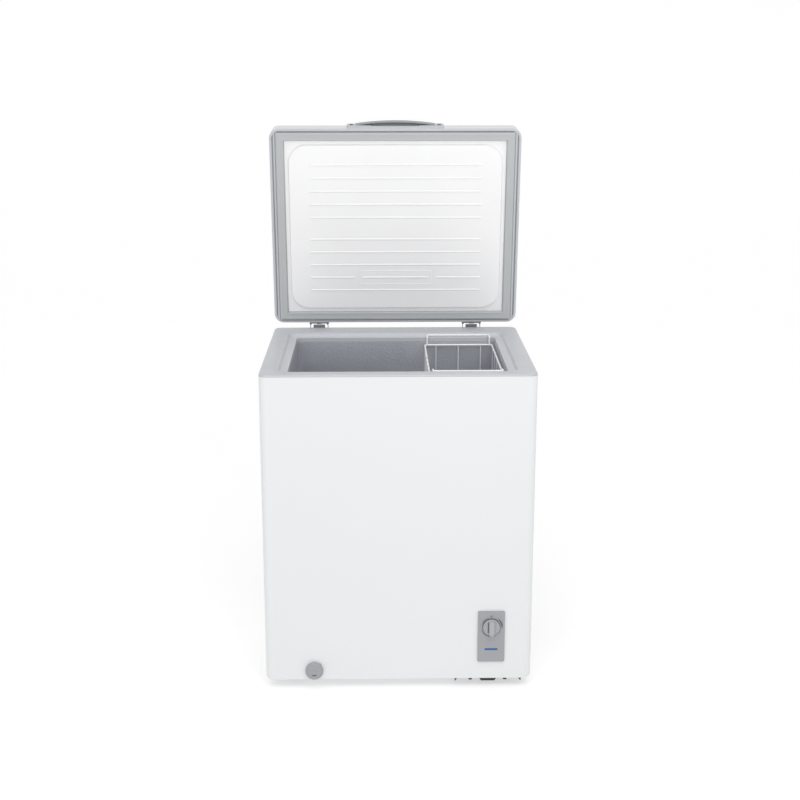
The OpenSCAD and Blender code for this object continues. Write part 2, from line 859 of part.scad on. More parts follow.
module tray_skid() {
    z1 = panel_z - 0.1;
    z_plate = z1 - skid_t / 2;
    color(black) case_frame() translate([comp_mid, 0, 0]) {
        block([-hook_x - hook_w / 2, skid_y0, z1 - skid_t],
              [hook_x + hook_w / 2, skid_y1, z1]);
        translate([0, skid_y0 + skid_foot_d, z_plate]) rotate([90, 0, 0])
            linear_extrude(skid_foot_d)
            polygon([[-skid_w / 2, 0], [skid_w / 2, 0], [skid_w / 2 - skid_taper, -skid_foot_h],
                     [skid_taper - skid_w / 2, -skid_foot_h]]);
        for (s = [-1, 1]) {
            translate([s * hook_x, skid_y0 + hook_d, z_plate]) rotate([90, 0, 0])
                linear_extrude(hook_d)
                polygon([[-hook_w / 2, 0], [hook_w / 2, 0], [s * hook_w / 2.5, -hook_h]]);
            translate([s * skid_screw_x, skid_y0 + skid_screw_r + 0.5, z_plate - skid_screw_h])
                cylinder(r = skid_screw_r, h = skid_screw_h);
        }
    }
}

// ---- Hinges ----

plate_screws = [[-12, -80], [12, -80], [0, -34]];
plate_screw_r = 2;
plate_screw_len = 12;

// Holes for the hinge screws through the back panel into the foam
module hinge_screw_holes() {
    for (s = [-1, 1], p = plate_screws)
        rod_y(s * hinge_span / 2 + p[0], top_z + p[1], plate_screw_r + 0.05,
              body_d - plate_screw_len, body_d + eps);
}

plate_y = body_d + 0.3;

// Ear of the hinge base, in the plane of its sheet, at x
module base_ear(x) {
    translate([x, 0, 0]) rotate([90, 0, 90]) linear_extrude(leaf_t) difference() {
        union() {
            translate([hinge_y, hinge_z]) circle(ear_r);
            polygon([[hinge_y - ear_r, hinge_z], [hinge_y + ear_r, hinge_z],
                     [hinge_y + ear_r, top_z - 40], [plate_y, top_z - 46], [plate_y, top_z + 2]]);
        }
        translate([hinge_y, hinge_z]) circle(pin_d / 2 + 0.02);
    }
}

module hinge_base(x) {
    color(steel) case_frame() difference() {
        union() {
            block([x - hinge_w / 2, plate_y, top_z - plate_drop],
                  [x + hinge_w / 2, plate_y + 2, top_z - 12]);
            base_ear(x - hinge_w / 2);
            base_ear(x + hinge_w / 2 - leaf_t);
        }
        for (p = plate_screws) rod_y(x + p[0], top_z + p[1], 2.2, body_d - eps, body_d + 8);
    }
}

module hinge_base_left() { hinge_base(-hinge_span / 2); }
module hinge_base_right() { hinge_base(hinge_span / 2); }

module hinge_pins() {
    color(steel) case_frame() for (s = [-1, 1]) let (x = s * hinge_span / 2) {
        rod_x(hinge_y, hinge_z, pin_d / 2, x - hinge_w / 2 - 0.4, x + hinge_w / 2 + 0.4);
        rod_x(hinge_y, hinge_z, pin_d / 2 + 1, x - hinge_w / 2 - 1.6, x - hinge_w / 2 - 0.2);
        rod_x(hinge_y, hinge_z, pin_d / 2 + 1, x + hinge_w / 2 + 0.2, x + hinge_w / 2 + 1.6);
    }
}

// Helical spring of round wire along X, from x0
function coil_point(t, turns, r, pitch) =
    [t * turns * pitch, r * cos(360 * t * turns), r * sin(360 * t * turns)];
function coil_ring(t, turns, r, pitch, wire, sides) =
    let (c = coil_point(t, turns, r, pitch), a = 360 * t * turns)
    [for (j = [0 : sides - 1]) let (b = 360 * j / sides)
        c + wire * [cos(b), sin(b) * cos(a), sin(b) * sin(a)]];

module helix(x0, turns, r, pitch, wire) {
    sides = 6;
    steps = turns * 14;
    rings = [for (i = [0 : steps]) each coil_ring(i / steps, turns, r, pitch, wire, sides)];
    body = [for (i = [0 : steps - 1], j = [0 : sides - 1]) let (k = (j + 1) % sides)
        [i * sides + j, i * sides + k, (i + 1) * sides + k, (i + 1) * sides + j]];
    first = [for (j = [sides - 1 : -1 : 0]) j];
    last = [for (j = [0 : sides - 1]) steps * sides + j];
    translate([x0, hinge_y, hinge_z]) polyhedron(rings, concat([first], body, [last]), 4);
}

module hinge_springs() {
    pitch = 2.6;
    half = spring_turns * pitch / 2;
    color(steel) case_frame() for (s = [-1, 1])
        helix(s * hinge_span / 2 - half, spring_turns, spring_r, pitch, spring_wire / 2);
}

module hinge_screws() {
    color(steel) case_frame() for (s = [-1, 1], p = plate_screws)
        screw_y(s * hinge_span / 2 + p[0], body_d + 2.4, top_z + p[1], 2 * plate_screw_r,
                plate_screw_len);
}

leaf_w = hinge_w - 2 * leaf_t - 1;
leaf_screws_x = [-12, 12];
leaf_screw_z = rim_z + pocket_h - 6;
leaf_screw_r = 1.6;

// Holes for the leaf screws into the lid
module leaf_screw_holes() {
    for (s = [-1, 1], dx = leaf_screws_x)
        rod_y(s * hinge_span / 2 + dx, leaf_screw_z, leaf_screw_r + 0.05, pocket_y - 12, lid_y1);
}

module hinge_leaf(x) {
    color(steel) lid_frame_open() difference() {
        union() {
            block([x - leaf_w / 2, pocket_y, rim_z + 0.4],
                  [x + leaf_w / 2, pocket_y + leaf_t, rim_z + pocket_h - 0.4]);
            for (e = [x - leaf_w / 2, x + leaf_w / 2 - leaf_t])
                translate([e, 0, 0]) rotate([90, 0, 90]) linear_extrude(leaf_t) union() {
                    translate([hinge_y, hinge_z]) circle(ear_r - 0.6);
                    translate([pocket_y, hinge_z - 2]) square([hinge_y - pocket_y, 7]);
                }
        }
        rod_x(hinge_y, hinge_z, pin_d / 2 + run_gap, x - hinge_w, x + hinge_w);
        for (dx = leaf_screws_x) rod_y(x + dx, leaf_screw_z, 1.9, pocket_y - eps, pocket_y + 8);
    }
}

module hinge_leaf_left() { hinge_leaf(-hinge_span / 2); }
module hinge_leaf_right() { hinge_leaf(hinge_span / 2); }

module leaf_screws() {
    color(steel) lid_frame_open() for (s = [-1, 1], dx = leaf_screws_x)
        screw_y(s * hinge_span / 2 + dx, pocket_y + leaf_t + 0.02, leaf_screw_z,
                2 * leaf_screw_r, 11);
}

// ---- Lid, drawn closed ----

// Outline block of the lid, inset all round
module lid_block(inset, z0, z1) {
    round_block([-lid_x + inset, lid_y0 + inset, z0], [lid_x - inset, lid_y1 - inset, z1],
                lid_r - inset);
}

// Section of the lid from a to b across, with its upper edges rounded
module lid_section(a, b, inset, z0) {
    r = lid_edge_r - inset;
    round_rect([a + inset, z0], [b - inset, lid_top - inset], r);
    translate([a + inset, z0]) square([b - a - 2 * inset, lid_h / 2]);
}

// Solid of the lid above height z0, inset all round, with its upper edges rounded
module lid_solid(inset, z0) {
    intersection() {
        lid_block(inset, z0, lid_top);
        translate([0, lid_y1 + 1, 0]) rotate([90, 0, 0]) linear_extrude(lid_y1 - lid_y0 + 2)
            lid_section(-lid_x, lid_x, inset, z0);
        translate([-lid_x - 1, 0, 0]) rotate([90, 0, 90]) linear_extrude(2 * lid_x + 2)
            lid_section(lid_y0, lid_y1, inset, z0);
    }
}

module pockets(t) {
    for (s = [-1, 1]) hinge_pocket(s * hinge_span / 2, t);
}

module lid_shell() {
    color(white) lid_frame_open() difference() {
        lid_solid(0, rim_z);
        lid_solid(shell_t, rim_z - eps);
        pockets(0);
        handle_cup(0);
        for (x = handle_screw_x) rod_y(x, handle_z, 2.2, lid_y0 - eps, lid_y0 + 5);
    }
}

// Underside of the lid's liner: flange, sunken pad and ribs
module pad_block(t, drop) {
    a = gasket_in + pad_in - t;
    round_block([-gasket_x + a, gasket_y0 + a, rim_z - drop],
                [gasket_x - a, gasket_y1 - a, rim_z + 1], pad_r);
}

module lid_foam() {
    color(foam_yellow) lid_frame_open() difference() {
        lid_solid(shell_t, rim_z + frame_t);
        pockets(pocket_wall);
        leaf_screw_holes();
        handle_cup(0);
        for (x = handle_screw_x) rod_y(x, handle_z, 2.2, lid_y0 - eps, lid_y0 + 16);
    }
}

module lid_liner() {
    y_mid = (gasket_y0 + gasket_y1) / 2;
    rib_x = gasket_x - gasket_in - pad_in - rib_end;
    color("whitesmoke") lid_frame_open() {
        block([-gasket_x + gasket_in, gasket_y0 + gasket_in, rim_z],
              [gasket_x - gasket_in, gasket_y1 - gasket_in, rim_z + frame_t]);
        difference() {
            pad_block(0, pad_drop);
            pad_block(-skin_t, pad_drop - skin_t);
        }
        for (i = [0 : rib_n - 1], s = [-1, 1])
            translate([0, y_mid + s * (rib_gap / 2 + i * rib_pitch), 0])
                block([-rib_x, -rib_w / 2, rim_z - pad_drop - rib_drop],
                      [rib_x, rib_w / 2, rim_z - pad_drop + 0.5]);
    }
}

module lid_frame() {
    color(grey) lid_frame_open() difference() {
        union() {
            lid_block(shell_t, rim_z, rim_z + frame_t);
            intersection() {
                pockets(pocket_wall);
                lid_block(shell_t, rim_z, lid_top);
            }
        }
        pockets(0);
        leaf_screw_holes();
        block([-gasket_x + gasket_in, gasket_y0 + gasket_in, rim_z - eps],
              [gasket_x - gasket_in, gasket_y1 - gasket_in, rim_z + frame_t + eps]);
    }
}

module lid_gasket() {
    color(grey) lid_frame_open() difference() {
        block([-gasket_x, gasket_y0, rim_z - gasket_t], [gasket_x, gasket_y1, rim_z]);
        block([-gasket_x + gasket_w, gasket_y0 + gasket_w, rim_z - gasket_t - eps],
              [gasket_x - gasket_w, gasket_y1 - gasket_w, rim_z + eps]);
    }
}

// Handle on the lid's front wall: a flat bar with a finger cup behind an arched grip, which
// fingers reach from the front, under the grip
handle_t = 5;
handle_h = 44;
handle_z = rim_z + 5 + handle_h / 2;
handle_screw_x = [-handle_w / 2 + 11, handle_w / 2 - 11];
grip_end = 2;
arch_rise = grip_rise - grip_end;
arch_r = (grip_w * grip_w / 4 + arch_rise * arch_rise) / (2 * arch_rise);
grip_t = 3;
grip_h = 21;
grip_z0 = handle_z - 4;
cup_w = grip_w * 0.6;
cup_t = 2;
cup_deep = 16;
cup_z0 = handle_z - 17;
cup_z1 = grip_z0 + grip_h - grip_t;

// Space of the finger cup in the lid's front wall, inset by t
module handle_cup(t) {
    block([-cup_w / 2 - cup_t + t, lid_y0 - eps, cup_z0 + t],
          [cup_w / 2 + cup_t - t, lid_y0 + cup_deep - t, cup_z1 - t]);
}

module handle_base() {
    color(grey) lid_frame_open() difference() {
        union() {
            translate([0, lid_y0, handle_z]) rotate([90, 0, 0]) linear_extrude(handle_t)
                round_rect([-handle_w / 2, -handle_h / 2], [handle_w / 2, handle_h / 2], 6);
            handle_cup(0.1);
        }
        handle_cup(cup_t);
        block([-cup_w / 2, lid_y0 - handle_t - eps, cup_z0 + cup_t],
              [cup_w / 2, lid_y0, cup_z1 - cup_t]);
        for (x = handle_screw_x) rod_y(x, handle_z, 2.2, lid_y0 - 20, lid_y0 + 5);
    }
}

// Plan of the arch, moved back by t and run past the base's face by over
module arch_plan(t, half, over) {
    y_front = lid_y0 - handle_t - grip_rise + t;
    intersection() {
        translate([0, y_front + arch_r]) circle(arch_r, $fn = 360);
        translate([-half, y_front - 1]) square([2 * half, grip_rise - t + 1 + over]);
    }
}

module handle_grip() {
    color(dark_grey) lid_frame_open() difference() {
        translate([0, 0, grip_z0]) linear_extrude(grip_h) arch_plan(0, grip_w / 2, 0);
        translate([0, 0, grip_z0 - eps]) linear_extrude(grip_h - grip_t + eps)
            arch_plan(grip_t, grip_w / 2, eps);
    }
}

module handle_screws() {
    color(steel) lid_frame_open() for (x = handle_screw_x) {
        rod_y(x, handle_z, 2.15, lid_y0 - handle_t - 0.5, lid_y0 + 15);
        rod_y(x, handle_z, 4.2, lid_y0 - handle_t - 2.2, lid_y0 - handle_t - 0.05);
    }
}

// ---- Controls and drain ----

module thermostat_knob() {
    y1 = -bezel_t - 0.6;
    color(grey) case_frame() difference() {
        union() {
            rod_y(bezel_x, knob_z, knob_d / 2, y1 - 6, y1);
            intersection() {
                block([bezel_x - 6.5, y1 - knob_h, knob_z - knob_d / 2 - eps],
                      [bezel_x + 6.5, y1 - 5, knob_z + knob_d / 2 + eps]);
                rod_y(bezel_x, knob_z, knob_d / 2 - 0.6, y1 - knob_h, y1);
            }
        }
        rod_y(bezel_x, knob_z, shaft_d / 2 + 0.02, y1 - 11, y1 + eps);
    }
}

module thermostat_shaft() {
    color(steel) case_frame()
        rod_y(bezel_x, knob_z, shaft_d / 2, -bezel_t - 0.6 - 10.8, 14);
}

neck_r = 9;
// Outlet hole's distance below the dial's middle
outlet_down = 3.8;

module drain_spout() {
    color(dark_grey) case_frame() difference() {
        union() {
            rod_y(-drain_x, drain_z, spout_r, 0.3, spout_y1);
            rod_y(-drain_x, drain_z, neck_r, -dial_t - dial_gap + 2.5, 1);
        }
        rod_y(-drain_x, drain_z, outlet_d / 2, -20, 60);
    }
}

module drain_dial() {
    knurl_n = 40;
    y0 = -dial_gap - dial_t;
    color(dark_grey) case_frame() difference() {
        rod_y(-drain_x, drain_z, dial_d / 2, y0, -dial_gap);
        rod_y(-drain_x, drain_z, neck_r + run_gap, y0 + 2.2, 1);
        rod_y(-drain_x, drain_z - outlet_down, 2.5, y0 - eps, 1);
        for (i = [0 : knurl_n - 1]) let (a = i * 360 / knurl_n)
            rod_y(-drain_x + (dial_d / 2 + 0.5) * cos(a), drain_z + (dial_d / 2 + 0.5) * sin(a),
                  1.1, y0 - eps, -dial_gap - 2);
    }
}

module floor_plug() {
    color(black) case_frame() translate([-drain_x, well_y, liner_z0]) {
        translate([0, 0, 0.3]) cylinder(r = plug_r + 6, h = 4);
        translate([0, 0, -14]) cylinder(r = plug_r, h = 15);
        translate([0, 0, 4]) cylinder(r = 5, h = 8);
    }
}

// ---- Basket ----

rim_o = rim_wire / 2;
rim_a = [basket_x0 + rim_o, basket_y0 + rim_o];
rim_b = [basket_x1 - rim_o, basket_y1 - rim_o];
floor_z = basket_rim_z - basket_h;
grid_top = basket_rim_z - rim_o;
grid_r = grid_wire / 2;
// The grids sit just inside the rim's outer line
grid_a = [rim_a[0], rim_a[1]];
grid_b = [rim_b[0], rim_b[1]];
cross_n = floor((basket_w - 2 * basket_r) / grid_pitch);
long_n = floor((basket_y1 - basket_y0 - 2 * basket_r) / grid_pitch);

// Place of wire i of n across a span
function spread(lo, hi, n, i) = lo + (hi - lo) * (i + 0.5) / n;

module basket_rim() {
    color(white) case_frame() wire_ring(rim_a, rim_b, basket_rim_z, basket_r, rim_o);
}

module basket_side_grids() {
    color(white) case_frame() for (x = [grid_a[0], grid_b[0]]) {
        for (i = [0 : long_n - 1])
            translate([x, spread(grid_a[1], grid_b[1], long_n, i), floor_z])
                cylinder(r = grid_r, h = grid_top - floor_z);
        for (z = [floor_z, floor_z + basket_h / 2])
            rod_y(x, z, grid_r, grid_a[1] + 8, grid_b[1] - 8);
    }
}

// Front or back grid at y
module end_grid(y) {
    for (i = [0 : cross_n - 1])
        translate([spread(grid_a[0], grid_b[0], cross_n, i), y, floor_z])
            cylinder(r = grid_r, h = grid_top - floor_z);
    for (z = [floor_z, floor_z + basket_h / 2])
        rod_x(y, z, grid_r, grid_a[0] + 8, grid_b[0] - 8);
}

module basket_end_grids() {
    color(white) case_frame() {
        end_grid(grid_a[1]);
        end_grid(grid_b[1]);
    }
}

module basket_floor_grid() {
    z = floor_z - 2 * grid_r;
    color(white) case_frame() {
        for (i = [0 : cross_n - 1])
            rod_y(spread(grid_a[0], grid_b[0], cross_n, i), z, grid_r, grid_a[1], grid_b[1]);
        for (i = [0 : long_n - 1])
            rod_x(spread(grid_a[1], grid_b[1], long_n, i), z, grid_r, grid_a[0], grid_b[0]);
        for (x = [grid_a[0], grid_b[0]])
            rod_y(x, z, grid_r, grid_a[1], grid_b[1]);
        for (y = [grid_a[1], grid_b[1]])
            rod_x(y, z, grid_r, grid_a[0], grid_b[0]);
    }
}

// Bow at one end of the basket: it rises from the rim at y and turns out by s to rest on the
// collar's ledge
module hanger(y, reach, s) {
    bend = 5;
    rise = hang_z - basket_rim_z;
    x0 = rim_a[0] + basket_r;
    x1 = rim_b[0] - basket_r;
    translate([0, y, basket_rim_z]) mirror([0, s < 0 ? 1 : 0, 0]) {
        for (x = [x0, x1]) {
            translate([x, 0, rim_o]) cylinder(r = rim_o, h = rise - bend - rim_o);
            translate([x, bend, rise - bend]) rotate([0, 0, 90]) rotate([90, 0, 0])
                rotate([0, 0, 90]) rotate_extrude(angle = 90) translate([bend, 0]) circle(rim_o);
            rod_y(x, rise, rim_o, bend, reach - bend);
        }
        rod_x(reach, rise, rim_o, x0 + bend, x1 - bend);
        translate([x0 + bend, reach - bend, rise]) rotate([0, 0, 90])
            rotate_extrude(angle = 90) translate([bend, 0]) circle(rim_o);
        translate([x1 - bend, reach - bend, rise])
            rotate_extrude(angle = 90) translate([bend, 0]) circle(rim_o);
    }
}

module basket_hangers() {
    color(white) case_frame() {
        hanger(rim_a[1], rim_a[1] - liner_y0 + hook_in, -1);
        hanger(rim_b[1], liner_y1 + hook_in - rim_b[1], 1);
    }
}

outer_wrap();
back_panel();
base_pan();
insulation();
inner_liner();
top_collar();
evaporator_coil();
condenser_coil();
compartment_shroud();
compressor();
compressor_motor();
compressor_tray();
compressor_grommets();
compressor_bolts();
terminal_cover();
start_relay();
filter_drier();
suction_tube();
discharge_tube();
rear_cover();
rear_cover_screws();
cord_gland();
side_vent();
control_bezel();
thermostat();
capillary();
indicator_lens();
lamp_board();
drain_pipe();
drain_sleeve();
feet();
foot_screws();
tray_skid();
hinge_base_left();
hinge_base_right();
hinge_pins();
hinge_springs();
hinge_screws();
lid_shell();
lid_foam();
lid_liner();
lid_frame();
lid_gasket();
handle_base();
handle_grip();
handle_screws();
hinge_leaf_left();
hinge_leaf_right();
leaf_screws();
thermostat_knob();
thermostat_shaft();
drain_spout();
drain_dial();
floor_plug();
basket_rim();
basket_side_grids();
basket_end_grids();
basket_floor_grid();
basket_hangers();
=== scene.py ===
"""Small chest freezer with its lid open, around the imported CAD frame. Everything is in metres."""
import json
import math

import bmesh
import bpy
from mathutils import Matrix, Vector


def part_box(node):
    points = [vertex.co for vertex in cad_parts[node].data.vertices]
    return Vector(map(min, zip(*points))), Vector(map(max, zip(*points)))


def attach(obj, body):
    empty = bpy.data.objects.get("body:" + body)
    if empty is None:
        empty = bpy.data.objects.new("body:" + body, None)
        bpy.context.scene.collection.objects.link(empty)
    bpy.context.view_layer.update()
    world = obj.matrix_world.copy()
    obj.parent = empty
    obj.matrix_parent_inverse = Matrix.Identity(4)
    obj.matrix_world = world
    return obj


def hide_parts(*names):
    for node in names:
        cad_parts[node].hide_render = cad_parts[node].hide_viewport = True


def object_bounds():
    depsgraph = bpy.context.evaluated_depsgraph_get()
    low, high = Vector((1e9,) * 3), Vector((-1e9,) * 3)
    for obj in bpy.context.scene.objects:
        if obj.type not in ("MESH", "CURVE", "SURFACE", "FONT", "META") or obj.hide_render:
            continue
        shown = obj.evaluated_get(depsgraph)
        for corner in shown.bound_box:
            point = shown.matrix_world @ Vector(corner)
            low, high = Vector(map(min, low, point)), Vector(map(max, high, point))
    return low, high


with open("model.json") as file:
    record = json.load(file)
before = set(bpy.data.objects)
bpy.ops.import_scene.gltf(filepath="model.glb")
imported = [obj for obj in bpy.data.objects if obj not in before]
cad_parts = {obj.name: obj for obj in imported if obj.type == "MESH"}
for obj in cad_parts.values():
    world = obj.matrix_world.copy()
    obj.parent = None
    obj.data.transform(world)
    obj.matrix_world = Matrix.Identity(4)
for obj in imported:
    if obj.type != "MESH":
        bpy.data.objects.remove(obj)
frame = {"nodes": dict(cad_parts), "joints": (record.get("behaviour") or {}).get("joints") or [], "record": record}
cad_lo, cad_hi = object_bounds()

MM = 0.001
NODES = frame["nodes"]
JOINTS = {j["name"]: j for j in frame["joints"]}


# ---- Places, all read from the frame ----

hinge = Vector(JOINTS["lid_hinge"]["pos_m"])
lid_angle = math.radians(JOINTS["lid_hinge"]["range_deg"][1])
TO_OPEN = (Matrix.Translation(hinge) @ Matrix.Rotation(-lid_angle, 4, "X")
           @ Matrix.Translation(-hinge))
TO_CLOSED = TO_OPEN.inverted()


def closed_box(node):
    """Lowest and highest corner of a lid node with the lid closed."""
    points = [TO_CLOSED @ v.co for v in NODES[node].data.vertices]
    low = Vector([min(p[i] for p in points) for i in range(3)])
    high = Vector([max(p[i] for p in points) for i in range(3)])
    return low, high


back_lo, back_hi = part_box("back_panel")
collar_lo, collar_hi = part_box("top_collar")
liner_lo, liner_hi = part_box("inner_liner")
knob_lo, knob_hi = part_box("thermostat_knob")
dial_lo, dial_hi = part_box("drain_dial")
shell_lo, shell_hi = closed_box("lid_shell")
pad_lo, pad_hi = closed_box("lid_liner")
seal_lo, seal_hi = closed_box("lid_gasket")
rim_z = shell_lo.z
front_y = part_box("outer_wrap")[0].y
face_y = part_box("control_bezel")[0].y


# ---- Materials ----

def nodes_of(material):
    """A material's node tree and its main shader."""
    tree = material.node_tree
    return tree, tree.nodes["Principled BSDF"]


def noise(tree, scale, detail=3.0, roughness=0.5, stretch=None):
    """Noise over object space, scale in cycles a metre."""
    place = tree.nodes.new("ShaderNodeTexCoord")
    texture = tree.nodes.new("ShaderNodeTexNoise")
    texture.inputs["Scale"].default_value = scale
    texture.inputs["Detail"].default_value = detail
    texture.inputs["Roughness"].default_value = roughness
    source = place.outputs["Object"]
    if stretch:
        mapping = tree.nodes.new("ShaderNodeMapping")
        mapping.inputs["Scale"].default_value = stretch
        tree.links.new(source, mapping.inputs["Vector"])
        source = mapping.outputs["Vector"]
    tree.links.new(source, texture.inputs["Vector"])
    return texture.outputs["Fac"]


def spread(tree, source, low, high):
    """Maps a 0.3 to 0.7 noise onto low to high."""
    ramp = tree.nodes.new("ShaderNodeMapRange")
    ramp.inputs["From Min"].default_value = 0.3
    ramp.inputs["From Max"].default_value = 0.7
    ramp.inputs["To Min"].default_value = low
    ramp.inputs["To Max"].default_value = high
    tree.links.new(source, ramp.inputs["Value"])
    return ramp.outputs["Result"]


def finish_of(name, color, rough, metallic=0.0, grain=60.0, grain_depth=0.0, tint=0.04,
              tint_scale=7.0, rough_swing=0.05, stretch=None, coat=0.0, cells=False):
    """A painted, moulded or metal finish: slow colour drift, uneven roughness and a fine bump."""
    material = bpy.data.materials.new(name)
    material.use_nodes = True
    tree, shader = nodes_of(material)
    shader.inputs["Metallic"].default_value = metallic
    shader.inputs["Coat Weight"].default_value = coat
    shader.inputs["Coat Roughness"].default_value = 0.12
    mix = tree.nodes.new("ShaderNodeMix")
    mix.data_type = "RGBA"
    mix.inputs["A"].default_value = [c * (1 - tint) for c in color] + [1]
    mix.inputs["B"].default_value = [min(1, c * (1 + tint)) for c in color] + [1]
    tree.links.new(spread(tree, noise(tree, tint_scale), 0, 1), mix.inputs["Factor"])
    tree.links.new(mix.outputs["Result"], shader.inputs["Base Color"])
    uneven = noise(tree, 35.0, 4.0, 0.6, stretch)
    tree.links.new(spread(tree, uneven, max(0.02, rough - rough_swing), rough + rough_swing),
                   shader.inputs["Roughness"])
    if grain_depth:
        bump = tree.nodes.new("ShaderNodeBump")
        bump.inputs["Strength"].default_value = 0.6
        bump.inputs["Distance"].default_value = grain_depth
        if cells:
            place = tree.nodes.new("ShaderNodeTexCoord")
            voronoi = tree.nodes.new("ShaderNodeTexVoronoi")
            voronoi.feature = "SMOOTH_F1"
            voronoi.inputs["Scale"].default_value = grain
            voronoi.inputs["Smoothness"].default_value = 0.6
            tree.links.new(place.outputs["Object"], voronoi.inputs["Vector"])
            tree.links.new(voronoi.outputs["Distance"], bump.inputs["Height"])
        else:
            tree.links.new(noise(tree, grain, 2.0, 0.5, stretch), bump.inputs["Height"])
        tree.links.new(bump.outputs["Normal"], shader.inputs["Normal"])
    return material


white_paint = finish_of("white_paint", (0.74, 0.755, 0.76), 0.30, grain=420, grain_depth=0.000004,
                        tint=0.006, tint_scale=2.5, rough_swing=0.02, coat=0.2)
grey_paint = finish_of("grey_paint", (0.42, 0.43, 0.45), 0.42, grain=500, grain_depth=0.00005,
                       tint=0.03, coat=0.1)
zinc = finish_of("zinc", (0.42, 0.435, 0.455), 0.36, metallic=0.9, grain=40, grain_depth=0.00003,
                 tint=0.09, tint_scale=26)
black_paint = finish_of("black_paint", (0.022, 0.022, 0.024), 0.42, grain=600,
                        grain_depth=0.00006, tint=0.2)
iron = finish_of("iron", (0.18, 0.18, 0.185), 0.6, metallic=0.8, grain=300, grain_depth=0.0002)
foam = finish_of("foam", (0.80, 0.72, 0.50), 0.85, grain=500, grain_depth=0.0004, tint=0.06,
                 cells=True)
stucco = finish_of("stucco", (0.50, 0.52, 0.56), 0.42, metallic=0.35, grain=190,
                   grain_depth=0.0008, tint=0.05, tint_scale=11, cells=True)
collar_plastic = finish_of("collar_plastic", (0.52, 0.535, 0.565), 0.36, grain=700,
                           grain_depth=0.00004, tint=0.02)
grey_plastic = finish_of("grey_plastic", (0.385, 0.395, 0.41), 0.34, grain=800,
                         grain_depth=0.00005, tint=0.025)
dark_grey_plastic = finish_of("dark_grey_plastic", (0.33, 0.335, 0.35), 0.36, grain=800,
                              grain_depth=0.00006, tint=0.03)
black_plastic = finish_of("black_plastic", (0.022, 0.022, 0.023), 0.5, grain=700,
                          grain_depth=0.0001, tint=0.15)
copper = finish_of("copper", (0.72, 0.38, 0.22), 0.28, metallic=1.0, grain=90,
                   grain_depth=0.00004, tint=0.1, tint_scale=30)
rubber = finish_of("rubber", (0.024, 0.024, 0.024), 0.7, grain=900, grain_depth=0.0001, tint=0.2)
gasket_vinyl = finish_of("gasket_vinyl", (0.46, 0.475, 0.48), 0.5, grain=900,
                         grain_depth=0.00005, tint=0.02)
white_plastic = finish_of("white_plastic", (0.885, 0.885, 0.89), 0.38, grain=500,
                          grain_depth=0.000008, tint=0.01)
board_green = finish_of("board_green", (0.03, 0.16, 0.06), 0.4, grain=300, grain_depth=0.0001)
bright_steel = finish_of("bright_steel", (0.24, 0.243, 0.25), 0.24, metallic=1.0, grain=120,
                         grain_depth=0.00002, tint=0.05, tint_scale=40,
                         stretch=(1, 12, 1))
wire_white = finish_of("wire_white", (0.86, 0.87, 0.88), 0.28, grain=300, grain_depth=0.00006,
                       tint=0.015, coat=0.4)
# Dark grey for the printed marks, also used as painted shade on the knob, round the knob and in the drain dial's
# slot
print_and_shade_grey = finish_of("print_and_shade_grey", (0.10, 0.10, 0.105), 0.5, grain=700, grain_depth=0.00004)
seam_dark = finish_of("seam_dark", (0.26, 0.27, 0.285), 0.6, grain=700, grain_depth=0.00004)
lamp_blue = finish_of("lamp_blue", (0.008, 0.075, 0.25), 0.25, grain=500, grain_depth=0.00003,
                      tint=0.08, coat=0.3)
lamp_shader = nodes_of(lamp_blue)[1]
lamp_shader.inputs["Emission Color"].default_value = (0.05, 0.24, 0.75, 1)
lamp_shader.inputs["Emission Strength"].default_value = 0.05

SLOT_FINISH = {
    "white_steel": white_paint, "grey_steel": grey_paint, "zinc_steel": zinc,
    "black_steel": black_paint, "motor_iron": iron, "foam": foam,
    "embossed_aluminium": stucco, "grey_plastic": grey_plastic,
    "dark_grey_plastic": dark_grey_plastic, "black_plastic": black_plastic, "copper": copper,
    "black_rubber": rubber, "gasket_vinyl": gasket_vinyl, "white_plastic": white_plastic,
    "blue_plastic": lamp_blue, "green_board": board_green, "bright_steel": bright_steel,
    "white_wire": wire_white,
}


def paint(obj, material):
    """Gives an object one material."""
    obj.data.materials.clear()
    obj.data.materials.append(material)


for part in frame["record"]["subparts"]:
    paint(NODES[part["node"]], SLOT_FINISH[part["material_slot"]])
paint(NODES["evaporator_coil"], zinc)
paint(NODES["handle_base"], collar_plastic)
# Painted shade: the grip is given a darker grey than the base, standing in for the shade on the grip's inside
paint(NODES["handle_grip"], dark_grey_plastic)

# ---- Softened edges on the CAD pieces that keep their shape ----

SOFT_EDGES = {
    "handle_base": 0.8, "handle_grip": 1.0, "control_bezel": 0.8, "hinge_base_left": 0.35,
    "hinge_base_right": 0.35, "hinge_leaf_left": 0.3, "hinge_leaf_right": 0.3,
    "tray_skid": 0.5, "feet": 0.8, "rear_cover": 0.25, "side_vent": 0.4, "cord_gland": 0.6,
    "indicator_lens": 0.15, "compressor_tray": 0.4, "terminal_cover": 1.0, "floor_plug": 0.8,
    "hinge_screws": 0.3, "leaf_screws": 0.3, "handle_screws": 0.4, "rear_cover_screws": 0.3,
    "foot_screws": 0.3, "drain_sleeve": 0.5,
}
for node, width in SOFT_EDGES.items():
    obj = NODES[node]
    weld = obj.modifiers.new("weld", "WELD")
    weld.merge_threshold = 0.00001
    bevel = obj.modifiers.new("soft_edges", "BEVEL")
    bevel.width = width * MM
    bevel.segments = 2
    bevel.limit_method = "ANGLE"
    bevel.angle_limit = math.radians(40)
    bevel.use_clamp_overlap = True
    normals = obj.modifiers.new("normals", "WEIGHTED_NORMAL")
    normals.keep_sharp = False


# ---- Mesh helpers ----

